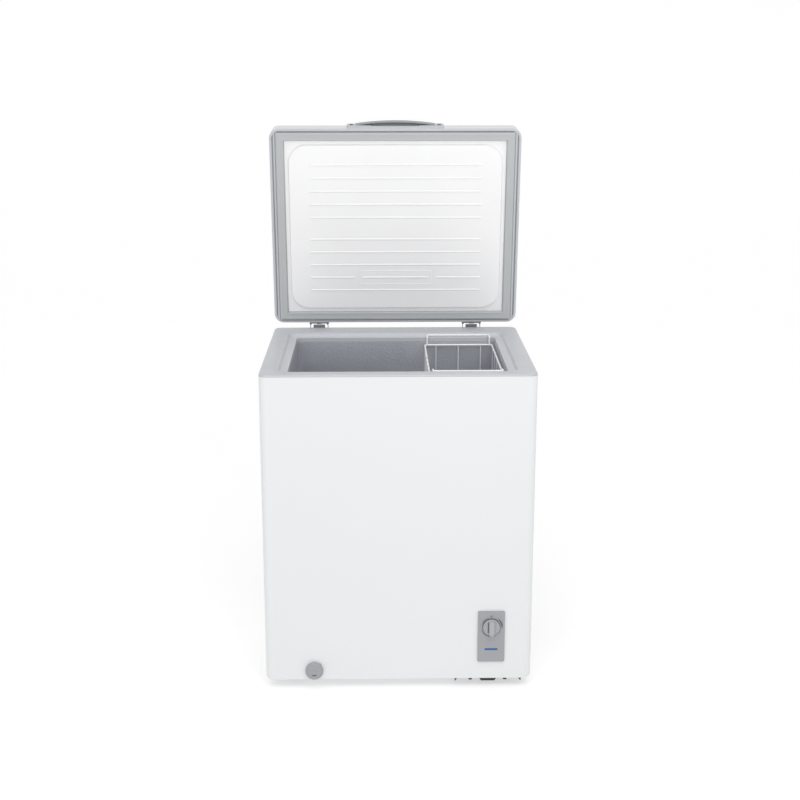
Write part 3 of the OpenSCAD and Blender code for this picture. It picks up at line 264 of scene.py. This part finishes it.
def new_piece(name, mesh_data, body, material, smooth_angle=32.0, in_lid=False):
    """Turns a bmesh into a named piece that rides on a body. Lid pieces are drawn closed."""
    bmesh.ops.recalc_face_normals(mesh_data, faces=mesh_data.faces)
    if in_lid:
        mesh_data.transform(TO_OPEN)
    mesh = bpy.data.meshes.new(name)
    mesh_data.to_mesh(mesh)
    mesh_data.free()
    for polygon in mesh.polygons:
        polygon.use_smooth = True
    mesh.set_sharp_from_angle(angle=math.radians(smooth_angle))
    obj = bpy.data.objects.new(name, mesh)
    bpy.context.scene.collection.objects.link(obj)
    paint(obj, material)
    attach(obj, body)
    return obj


def rect_loop(x0, x1, y0, y1, r, z, steps=8):
    """Points of a rounded rectangle at height z, counter-clockwise from the right front corner."""
    points = []
    for cx, cy, start in ((x1 - r, y0 + r, -90), (x1 - r, y1 - r, 0),
                          (x0 + r, y1 - r, 90), (x0 + r, y0 + r, 180)):
        for i in range(steps + 1):
            a = math.radians(start + 90 * i / steps)
            points.append((cx + r * math.cos(a), cy + r * math.sin(a), z))
    return points


def add_loops(mesh_data, loops, close_ring=False, cap_first=False, cap_last=False):
    """Quads between loops that have the same number of points."""
    rows = [[mesh_data.verts.new(p) for p in loop] for loop in loops]
    pairs = list(zip(rows, rows[1:]))
    if close_ring:
        pairs.append((rows[-1], rows[0]))
    for low, high in pairs:
        count = len(low)
        for i in range(count):
            j = (i + 1) % count
            mesh_data.faces.new((low[i], low[j], high[j], high[i]))
    if cap_first:
        mesh_data.faces.new(list(reversed(rows[0])))
    if cap_last:
        mesh_data.faces.new(rows[-1])
    return rows


def frame_loops(x, y0, y1, r, profile):
    """Loops of one section run round a rounded rectangle. Profile is (inset, height) pairs."""
    return [rect_loop(-x + i, x - i, y0 + i, y1 - i, max(r - i, 0.0004), z)
            for i, z in profile]


def lathe(mesh_data, centre, profile, steps=64, knurl=None):
    """Turns (radius, y) pairs about a Y axis through centre. knurl(radius, angle) bends the rim."""
    loops = []
    for radius, y in profile:
        loop = []
        for i in range(steps):
            a = 2 * math.pi * i / steps
            r = knurl(radius, a) if knurl else radius
            loop.append((centre.x + r * math.cos(a), y, centre.z + r * math.sin(a)))
        loops.append(loop)
    return add_loops(mesh_data, loops, cap_first=True, cap_last=True)


# ---- Collar: rim, sloping step, ledge and skirt ----

RIM_SIDE, RIM_FRONT, RIM_BACK, LEDGE_DROP = 41.5 * MM, 33 * MM, 73 * MM, 7 * MM
WALL_STEP = 1 * MM
skirt_z = liner_hi.z
rim_top = collar_hi.z
well = (liner_hi.x - WALL_STEP, liner_lo.y + WALL_STEP, liner_hi.y - WALL_STEP)
ledge = (collar_hi.x - RIM_SIDE, collar_lo.y + RIM_FRONT, collar_hi.y - RIM_BACK)
outer = (collar_hi.x, collar_lo.y, collar_hi.y)


def collar_loop(base, inset, r, z):
    """Loop round the collar at height z, inset from a base outline of half width and two Y ends."""
    x, y0, y1 = base
    return rect_loop(-x + inset, x - inset, y0 + inset, y1 - inset, r - inset, z)


collar_mesh = bmesh.new()
add_loops(collar_mesh, [
    collar_loop(outer, 0.2 * MM, 18 * MM, rim_top - 4.9 * MM),
    collar_loop(outer, 0, 18 * MM, rim_top - 4.5 * MM),
    collar_loop(outer, 0, 18 * MM, rim_top - 1.8 * MM),
    collar_loop(outer, 0.5 * MM, 18 * MM, rim_top - 0.7 * MM),
    collar_loop(outer, 1.6 * MM, 18 * MM, rim_top - 0.1 * MM),
    collar_loop(outer, 3 * MM, 18 * MM, rim_top),
    collar_loop(ledge, -2.2 * MM, 20 * MM, rim_top),
    collar_loop(ledge, -0.8 * MM, 20 * MM, rim_top - 0.35 * MM),
    collar_loop(ledge, 0.2 * MM, 20 * MM, rim_top - 1.4 * MM),
    collar_loop(ledge, 2.6 * MM, 20 * MM, rim_top - LEDGE_DROP + 0.8 * MM),
    collar_loop(ledge, 3.4 * MM, 20 * MM, rim_top - LEDGE_DROP + 0.15 * MM),
    collar_loop(ledge, 4.2 * MM, 20 * MM, rim_top - LEDGE_DROP),
    collar_loop(well, -3 * MM, 14 * MM, rim_top - LEDGE_DROP),
    collar_loop(well, -1.4 * MM, 14 * MM, rim_top - LEDGE_DROP - 0.4 * MM),
    collar_loop(well, -0.5 * MM, 14 * MM, rim_top - LEDGE_DROP - 1.6 * MM),
    collar_loop(well, 0, 14 * MM, skirt_z + 0.6 * MM),
    collar_loop(well, -0.4 * MM, 14 * MM, skirt_z),
    collar_loop(well, -2.5 * MM, 14 * MM, skirt_z),
    collar_loop(well, -2.5 * MM, 14 * MM, rim_top - LEDGE_DROP - 3 * MM),
    collar_loop(ledge, -2.5 * MM, 20 * MM, rim_top - LEDGE_DROP - 3 * MM),
    collar_loop(ledge, -4 * MM, 20 * MM, rim_top - 4.9 * MM),
], close_ring=True)
collar = new_piece("collar_moulding", collar_mesh, "cabinet", collar_plastic)
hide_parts("top_collar")

# ---- Lid's inner panel: flange, raised pad, ribs and label recess ----

PAD_IN, PAD_R = 8 * MM, 46 * MM  # flange's width and the pad's corner radius
PAD_DROP, RIB_DROP = 6.5 * MM, 1.6 * MM
RIB_COUNT, RIB_PITCH, RIB_GAP, RIB_W = 5, 33.5 * MM, 56 * MM, 5 * MM
RIB_END = 50 * MM
face_z = rim_z - PAD_DROP
panel = bmesh.new()
pad = (pad_hi.x, pad_lo.y, pad_hi.y)


def pad_loop(inset, r, z):
    """Loop round the lid's inner panel, inset from its outline."""
    x, y0, y1 = pad
    return rect_loop(-x + inset, x - inset, y0 + inset, y1 - inset, r, z, 16)


add_loops(panel, [
    pad_loop(-1.5 * MM, 1 * MM, rim_z + 2 * MM),
    pad_loop(-1.5 * MM, 1 * MM, rim_z - 0.4 * MM),
    pad_loop(0.5 * MM, 2 * MM, rim_z - 0.6 * MM),
    pad_loop(PAD_IN - 2.4 * MM, PAD_R + 2 * MM, rim_z - 0.6 * MM),
    pad_loop(PAD_IN - 1.0 * MM, PAD_R + 1 * MM, rim_z - 1.1 * MM),
    pad_loop(PAD_IN - 0.2 * MM, PAD_R, rim_z - 2.4 * MM),
    pad_loop(PAD_IN + 0.6 * MM, PAD_R, face_z + 2.2 * MM),
    pad_loop(PAD_IN + 1.4 * MM, PAD_R - 1 * MM, face_z + 0.9 * MM),
    pad_loop(PAD_IN + 2.8 * MM, PAD_R - 2 * MM, face_z + 0.2 * MM),
    pad_loop(PAD_IN + 4.6 * MM, PAD_R - 3 * MM, face_z),
], cap_last=True)


def rib(x0, x1, y, width=RIB_W, drop=RIB_DROP):
    """Low rounded rib along X, standing down from the pad's face, with rounded ends."""
    loops = []
    for share, z in ((1.0, 0.3 * MM), (0.86, -0.35 * drop), (0.6, -0.75 * drop),
                     (0.3, -0.96 * drop)):
        half = width / 2 * share
        inset = width / 2 - half
        loops.append(rect_loop(x0 + inset, x1 - inset, y - half, y + half, half * 0.98,
                               face_z + z, 5))
    add_loops(panel, loops, cap_last=True)


mid_y = (seal_lo.y + seal_hi.y) / 2
rib_x = pad_hi.x - PAD_IN - RIB_END
RECESS_HALF, RECESS_RISE = 91 * MM, 18 * MM
RECESS_CLEAR, RECESS_INSIDE = 13 * MM, 7 * MM
for i in range(RIB_COUNT):
    rib(-rib_x, rib_x, mid_y - RIB_GAP / 2 - i * RIB_PITCH)
    y = mid_y + RIB_GAP / 2 + i * RIB_PITCH
    if i == RIB_COUNT - 2:
        rib(-rib_x, -RECESS_HALF - RECESS_CLEAR, y)
        rib(-RECESS_HALF + RECESS_INSIDE, RECESS_HALF - RECESS_INSIDE, y)
        rib(RECESS_HALF + RECESS_CLEAR, rib_x, y)
        frame_rows = []
        for inset, z in ((-1.4, 0.2), (-0.8, -0.5), (0, -0.75), (0.8, -0.5), (1.4, 0.2)):
            frame_rows.append(rect_loop(
                -RECESS_HALF + inset * MM, RECESS_HALF - inset * MM,
                y - RECESS_RISE + inset * MM, y + RECESS_RISE - inset * MM,
                (3 - inset) * MM, face_z + z * MM, 4))
        add_loops(panel, frame_rows)
    else:
        rib(-rib_x, rib_x, y)
lid_panel = new_piece("lid_inner_panel", panel, "lid", white_plastic,
                      smooth_angle=38, in_lid=True)
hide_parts("lid_liner")

# ---- Gasket with mitred corners ----

gasket = bmesh.new()
seal_t = seal_hi.z - seal_lo.z
GASKET_PROFILE = ((0.4, 0.0), (0.2, 0.30), (0.5, 0.62), (1.6, 0.90), (3.4, 1.0), (7.0, 0.93),
                  (12.0, 0.90), (15.5, 0.93), (17.6, 1.0), (19.4, 0.92), (20.6, 0.70),
                  (21.0, 0.40), (21.0, 0.0))
rows = []
for inset, drop in GASKET_PROFILE:
    i = inset * MM
    z = seal_hi.z - drop * seal_t
    rows.append([(seal_lo.x + i, seal_lo.y + i, z), (seal_hi.x - i, seal_lo.y + i, z),
                 (seal_hi.x - i, seal_hi.y - i, z), (seal_lo.x + i, seal_hi.y - i, z)])
add_loops(gasket, rows, close_ring=True)
gasket_piece = new_piece("lid_seal", gasket, "lid", gasket_vinyl,
                         smooth_angle=50, in_lid=True)
mitre_edges = {frozenset((r * 4 + k, (r + 1) * 4 + k)) for r in range(len(rows) - 1)
               for k in range(4)}
for edge in gasket_piece.data.edges:
    if frozenset(edge.vertices) in mitre_edges:
        edge.use_edge_sharp = True
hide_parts("lid_gasket")

# ---- Trim round the lid's edge, a dark seam inside it and a bead by the gasket ----

EDGE_R = 24 * MM
trim = bmesh.new()
add_loops(trim, frame_loops(shell_hi.x, shell_lo.y, shell_hi.y, EDGE_R, [
    (0.25 * MM, rim_z + 0.8 * MM), (0.15 * MM, rim_z - 0.8 * MM), (0.6 * MM, rim_z - 1.9 * MM),
    (1.6 * MM, rim_z - 2.5 * MM), (3.4 * MM, rim_z - 2.7 * MM), (5.4 * MM, rim_z - 2.4 * MM),
    (6.3 * MM, rim_z - 1.6 * MM), (6.6 * MM, rim_z - 0.4 * MM), (6.6 * MM, rim_z + 0.8 * MM),
]), close_ring=True)
new_piece("lid_edge_trim", trim, "lid", collar_plastic, in_lid=True)
paint(NODES["lid_frame"], seam_dark)

bead = bmesh.new()
add_loops(bead, [
    rect_loop(seal_lo.x - w, seal_hi.x + w, seal_lo.y - 0.3 * MM - w * 0.08,
              seal_hi.y + 0.3 * MM + w * 0.08, 3 * MM + w, z)
    for w, z in ((5.6 * MM, rim_z + 0.3 * MM), (5.4 * MM, rim_z - 1.1 * MM),
                 (4.4 * MM, rim_z - 1.7 * MM), (2.2 * MM, rim_z - 1.8 * MM),
                 (0.6 * MM, rim_z - 1.2 * MM), (0.4 * MM, rim_z + 0.3 * MM))
], close_ring=True)
new_piece("lid_seal_bead", bead, "lid", collar_plastic, in_lid=True)

# ---- Control knob with a bar grip ----

knob_centre = Vector(JOINTS["knob_turn"]["pos_m"])
knob_r = (knob_hi.x - knob_lo.x) / 2
knob = bmesh.new()
SKIRT_D, FLUTE_COUNT, FLUTE_DEPTH, DISH = 6 * MM, 36, 0.25 * MM, 0.9 * MM
skirt_y = knob_hi.y - SKIRT_D


def knob_flutes(radius, angle):
    """Fine grip flutes in the skirt's widest stretch."""
    if radius < knob_r - 0.4 * MM:
        return radius
    return radius - FLUTE_DEPTH * (0.5 + 0.5 * math.cos(FLUTE_COUNT * angle))


lathe(knob, knob_centre, [
    (knob_r - 1.2 * MM, knob_hi.y), (knob_r - 0.2 * MM, knob_hi.y - 0.4 * MM),
    (knob_r, knob_hi.y - 1.2 * MM), (knob_r, skirt_y + 1.4 * MM),
    (knob_r - 0.3 * MM, skirt_y + 0.6 * MM), (knob_r - 1.2 * MM, skirt_y),
    (knob_r - 2.4 * MM, skirt_y), (knob_r - 3.0 * MM, skirt_y + 0.7 * MM),
    (knob_r - 4.4 * MM, skirt_y + DISH), (knob_r * 0.4, skirt_y + DISH),
], steps=144, knurl=knob_flutes)
bar_half = knob_r - 1.6 * MM
bar_rows = []
for half_w, half_h, y in ((6.4, 0.0, 1.2), (6.4, 0.0, -3), (6.1, 0.2, -7.0), (5.6, 0.7, -9.4),
                          (4.8, 1.5, -10.5), (3.8, 2.5, -10.9)):
    row = rect_loop(-half_w * MM, half_w * MM, -bar_half + half_h * MM, bar_half - half_h * MM,
                    min(half_w, 4.5) * MM * 0.98, 0, 6)
    bar_rows.append([(knob_centre.x + px, skirt_y + y * MM, knob_centre.z + pz)
                     for px, pz, _ in row])
add_loops(knob, bar_rows, cap_last=True)
knob_piece = new_piece("control_knob", knob, "knob", grey_plastic)
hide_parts("thermostat_knob")

# Painted shadow: a dark strip on the disc along the left side of the bar, where the bar's shadow falls
knob_bar_shade = bmesh.new()
BAR_SHADE_LEFT, BAR_SHADE_RIGHT, BAR_SHADE_SHORT = 8.8 * MM, 6.2 * MM, 5 * MM
line = rect_loop(knob_centre.x - BAR_SHADE_LEFT, knob_centre.x - BAR_SHADE_RIGHT,
                 knob_centre.z - bar_half + BAR_SHADE_SHORT, knob_centre.z + bar_half - BAR_SHADE_SHORT,
                 1.2 * MM, 0, 4)
disc_y = skirt_y + DISH
add_loops(knob_bar_shade, [[(px, disc_y + 0.3 * MM, pz) for px, pz, _ in line],
                  [(px, disc_y - 0.15 * MM, pz) for px, pz, _ in line]], cap_last=True)
new_piece("knob_painted_shadow", knob_bar_shade, "knob", print_and_shade_grey)

# ---- Marks round the knob: four printed arcs, a printed dot above and a ring of painted shade ----

marks_and_gap_shade = bmesh.new()
SUNK, PROUD = 0.2 * MM, 0.12 * MM


def crescent(start, end, radius, thick):
    """Arc that swells to thick at its middle, from start to end degrees."""
    steps = 28
    inner, rim = [], []
    for i in range(steps + 1):
        t = i / steps
        a = math.radians(start + (end - start) * t)
        half = thick / 2 * math.sin(math.pi * (0.06 + 0.88 * t)) ** 0.8
        for row, r in ((inner, radius - half), (rim, radius + half)):
            row.append((knob_centre.x + r * math.cos(a), knob_centre.z + r * math.sin(a)))
    outline = inner + list(reversed(rim))
    add_loops(marks_and_gap_shade, [[(x, face_y + SUNK, z) for x, z in outline],
                      [(x, face_y - PROUD, z) for x, z in outline]], cap_last=True)


crescent(-12, 52, knob_r + 5.2 * MM, 3.6 * MM)
crescent(196, 300, knob_r + 4.4 * MM, 2.4 * MM)
crescent(112, 160, knob_r + 3.4 * MM, 1.0 * MM)
crescent(302, 345, knob_r + 3.4 * MM, 1.0 * MM)
# The ring is painted shade: a dark band round the knob that stands in for the shade in the gap between the knob
# and the bezel
RING_STEPS, RING_IN, RING_OUT = 72, 2 * MM, 1.5 * MM
ring_rows = []
for radius, proud in ((knob_r - RING_IN, -SUNK), (knob_r - RING_IN, PROUD),
                      (knob_r + RING_OUT, PROUD), (knob_r + RING_OUT, -SUNK)):
    turns = [2 * math.pi * k / RING_STEPS for k in range(RING_STEPS)]
    ring_rows.append([(knob_centre.x + radius * math.cos(a), face_y - proud,
                       knob_centre.z + radius * math.sin(a)) for a in turns])
add_loops(marks_and_gap_shade, ring_rows)
index = rect_loop(knob_centre.x - 1.5 * MM, knob_centre.x + 1.5 * MM,
                  knob_centre.z + knob_r + 5.2 * MM, knob_centre.z + knob_r + 8.4 * MM,
                  1.4 * MM, 0, 5)
add_loops(marks_and_gap_shade, [[(x, face_y + SUNK, z) for x, z, _ in index],
                  [(x, face_y - PROUD, z) for x, z, _ in index]], cap_last=True)
new_piece("control_marks_and_gap_shade", marks_and_gap_shade, "cabinet", print_and_shade_grey)

# ---- Drain dial ----

dial_centre = Vector(JOINTS["dial_turn"]["pos_m"])
dial_r = (dial_hi.x - dial_lo.x) / 2
dial = bmesh.new()
KNURL_COUNT, KNURL_DEPTH = 40, 0.35 * MM


def dial_knurl(radius, angle):
    """Knurls round the dial's widest stretch."""
    if radius < dial_r - 0.5 * MM:
        return radius
    return radius - KNURL_DEPTH * (0.5 + 0.5 * math.cos(KNURL_COUNT * angle))


lathe(dial, dial_centre, [
    (9.2 * MM, dial_hi.y), (dial_r - 1.0 * MM, dial_hi.y),
    (dial_r, dial_hi.y - 0.9 * MM), (dial_r, dial_lo.y + 2.2 * MM),
    (dial_r - 0.4 * MM, dial_lo.y + 1.0 * MM), (dial_r - 1.5 * MM, dial_lo.y + 0.2 * MM),
    (dial_r - 2.8 * MM, dial_lo.y), (dial_r - 3.6 * MM, dial_lo.y + 0.1 * MM),
    (dial_r - 4.2 * MM, dial_lo.y + 0.8 * MM), (dial_r - 5.0 * MM, dial_lo.y + 0.9 * MM),
    (5.4 * MM, dial_lo.y + 0.9 * MM), (4.6 * MM, dial_lo.y + 0.3 * MM),
    (2.0 * MM, dial_lo.y + 0.2 * MM),
], steps=160, knurl=dial_knurl)
dial_piece = new_piece("drain_dial_cap", dial, "dial", dark_grey_plastic)
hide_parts("drain_dial")

# Painted shade: a dark plate on the dial's face where its slot opens, standing in for the shade inside the slot
slot_shade = bmesh.new()
slot_row = rect_loop(dial_centre.x - 5.5 * MM, dial_centre.x + 5.5 * MM,
                     dial_centre.z - 11.6 * MM, dial_centre.z - 8.2 * MM, 1.6 * MM, 0, 5)
add_loops(slot_shade, [[(x, dial_lo.y + 1.1 * MM, z) for x, z, _ in slot_row],
                   [(x, dial_lo.y + 0.75 * MM, z) for x, z, _ in slot_row]], cap_last=True)
new_piece("drain_slot_shade", slot_shade, "dial", print_and_shade_grey)

# ---- Webs that carry the hinge plates up to the springs ----

webs = bmesh.new()
WEB_HALF, WEB_LOW, WEB_HIGH = 15 * MM, 11.9 * MM, 7.3 * MM
for node in ("hinge_base_left", "hinge_base_right"):
    base_lo, base_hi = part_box(node)
    web_x = (base_lo.x + base_hi.x) / 2
    web_rows = []
    for inset, behind in ((0.3, 0.45), (0.0, 0.75), (0.0, 1.85), (0.3, 2.15)):
        row = rect_loop(web_x - WEB_HALF + inset * MM, web_x + WEB_HALF - inset * MM,
                        rim_top - WEB_LOW + inset * MM, rim_top + WEB_HIGH - inset * MM,
                        1.5 * MM, 0, 5)
        web_rows.append([(px, back_hi.y + behind * MM, pz) for px, pz, _ in row])
    add_loops(webs, web_rows, cap_first=True, cap_last=True)
new_piece("hinge_webs", webs, "cabinet", bright_steel)

# ---- Pressed stiffeners in the back panel ----

pressed = bmesh.new()
PRESSED_X, PRESSED_HALF, PRESSED_R = (-160 * MM, 0.0, 160 * MM), 14 * MM, 13.5
PRESSED_LOW, PRESSED_HIGH = back_lo.z + 300 * MM, back_lo.z + 600 * MM
for x in PRESSED_X:
    pressed_rows = []
    for inset, proud in ((0, -0.3), (0.6, 0.2), (2.2, 1.0), (4.5, 1.3)):
        row = rect_loop(x - PRESSED_HALF + inset * MM, x + PRESSED_HALF - inset * MM,
                        PRESSED_LOW + inset * MM, PRESSED_HIGH - inset * MM,
                        (PRESSED_R - inset) * MM, 0, 8)
        pressed_rows.append([(px, back_hi.y + proud * MM, pz) for px, pz, _ in row])
    add_loops(pressed, pressed_rows, cap_last=True)
new_piece("back_stiffeners", pressed, "cabinet", grey_paint)

# ---- Floor, light and camera ----

floor_mesh = bmesh.new()
REACH, FLOOR_GAP = 60.0, 0.4 * MM
floor_z = cad_lo.z - FLOOR_GAP
corners = [floor_mesh.verts.new((x, y, floor_z))
           for x, y in ((-REACH, -REACH), (REACH, -REACH), (REACH, REACH), (-REACH, REACH))]
floor_mesh.faces.new(corners)
mesh = bpy.data.meshes.new("floor")
floor_mesh.to_mesh(mesh)
floor_mesh.free()
floor = bpy.data.objects.new("floor", mesh)
bpy.context.scene.collection.objects.link(floor)
floor_pale = finish_of("floor_pale", (0.50, 0.50, 0.50), 0.7, tint=0.004)
floor_shader = nodes_of(floor_pale)[1]
floor_shader.inputs["Emission Color"].default_value = (1, 1, 1, 1)
floor_shader.inputs["Emission Strength"].default_value = 0.55
paint(floor, floor_pale)

SKY_TOP, SIDE_DARK, FRONT_DARK = 0.55, 0.5, 0.6
scene = bpy.context.scene
scene.view_settings.view_transform = "Standard"
world = bpy.data.worlds.new("studio")
scene.world = world
world.use_nodes = True
sky = world.node_tree
background = sky.nodes["Background"]
place = sky.nodes.new("ShaderNodeTexCoord")
split = sky.nodes.new("ShaderNodeSeparateXYZ")
sky.links.new(place.outputs["Generated"], split.inputs["Vector"])
ramp = sky.nodes.new("ShaderNodeValToRGB")
ramp.color_ramp.elements[0].position = 0.05
ramp.color_ramp.elements[0].color = (1.0, 1.0, 1.0, 1)
ramp.color_ramp.elements[1].position = 0.6
ramp.color_ramp.elements[1].color = (SKY_TOP, SKY_TOP, SKY_TOP, 1)
sky.links.new(split.outputs["Z"], ramp.inputs["Fac"])


def sky_math(operation, a, b):
    """One math node on two values, each a socket or a number."""
    node = sky.nodes.new("ShaderNodeMath")
    node.operation = operation
    for i, value in enumerate((a, b)):
        if isinstance(value, (int, float)):
            node.inputs[i].default_value = value
        else:
            sky.links.new(value, node.inputs[i])
    return node.outputs["Value"]


# The studio's walls are darker to the sides and behind the camera, and bright at the horizon
rise = sky_math("MINIMUM", sky_math("MAXIMUM", sky_math("MULTIPLY", split.outputs["Z"], 3.0),
                                    0.0), 1.0)
side = sky_math("MULTIPLY", split.outputs["X"], split.outputs["X"])
toward = sky_math("MINIMUM", split.outputs["Y"], 0.0)
dim = sky_math("SUBTRACT", sky_math("MULTIPLY", side, SIDE_DARK),
               sky_math("MULTIPLY", toward, FRONT_DARK))
level = sky_math("SUBTRACT", 1.0, sky_math("MULTIPLY", dim, rise))
sky.links.new(ramp.outputs["Color"], background.inputs["Color"])
sky.links.new(level, background.inputs["Strength"])


def area_light(name, location, target, size, power):
    """White rectangular light at location, turned to target."""
    light = bpy.data.lights.new(name, "AREA")
    light.shape = "RECTANGLE"
    light.size, light.size_y = size
    light.energy = power
    obj = bpy.data.objects.new(name, light)
    obj.location = location
    obj.rotation_euler = (Vector(target) - Vector(location)).to_track_quat("-Z", "Y").to_euler()
    scene.collection.objects.link(obj)


sun = bpy.data.lights.new("soft_sun", "SUN")
sun.energy = 1.25
sun.angle = math.radians(60)
sun_obj = bpy.data.objects.new("soft_sun", sun)
sun_obj.rotation_euler = (math.radians(18), math.radians(-6), 0)
scene.collection.objects.link(sun_obj)
middle = Vector((0, (cad_lo.y + cad_hi.y) / 2, rim_z))
lid_middle = middle + Vector((0, 0.2, 0.35))
KEY_PLACE, KEY_SIZE, KEY_POWER = (0.75, -1.5, 2.05), (1.3, 0.9), 10
FILL_PLACE, FILL_SIZE, FILL_POWER = (-0.6, -2.9, 1.25), (1.6, 0.8), 11
area_light("key", KEY_PLACE, middle, KEY_SIZE, KEY_POWER)
area_light("fill", FILL_PLACE, lid_middle, FILL_SIZE, FILL_POWER)

camera = bpy.data.cameras.new("camera")
camera.sensor_width = 36
camera.lens = 56.8
camera.shift_y = -0.05
camera.clip_end = 200
camera_obj = bpy.data.objects.new("camera", camera)
CAMERA_BACK, CAMERA_UP, CAMERA_LEFT = 2.717, 0.700, 0.044
CAMERA_DOWN, CAMERA_TURN = 13.77, -1.0
camera_obj.location = (-CAMERA_LEFT, front_y - CAMERA_BACK, rim_top + CAMERA_UP)
camera_obj.rotation_euler = (math.radians(90 - CAMERA_DOWN), 0, math.radians(CAMERA_TURN))
scene.collection.objects.link(camera_obj)
scene.camera = camera_obj
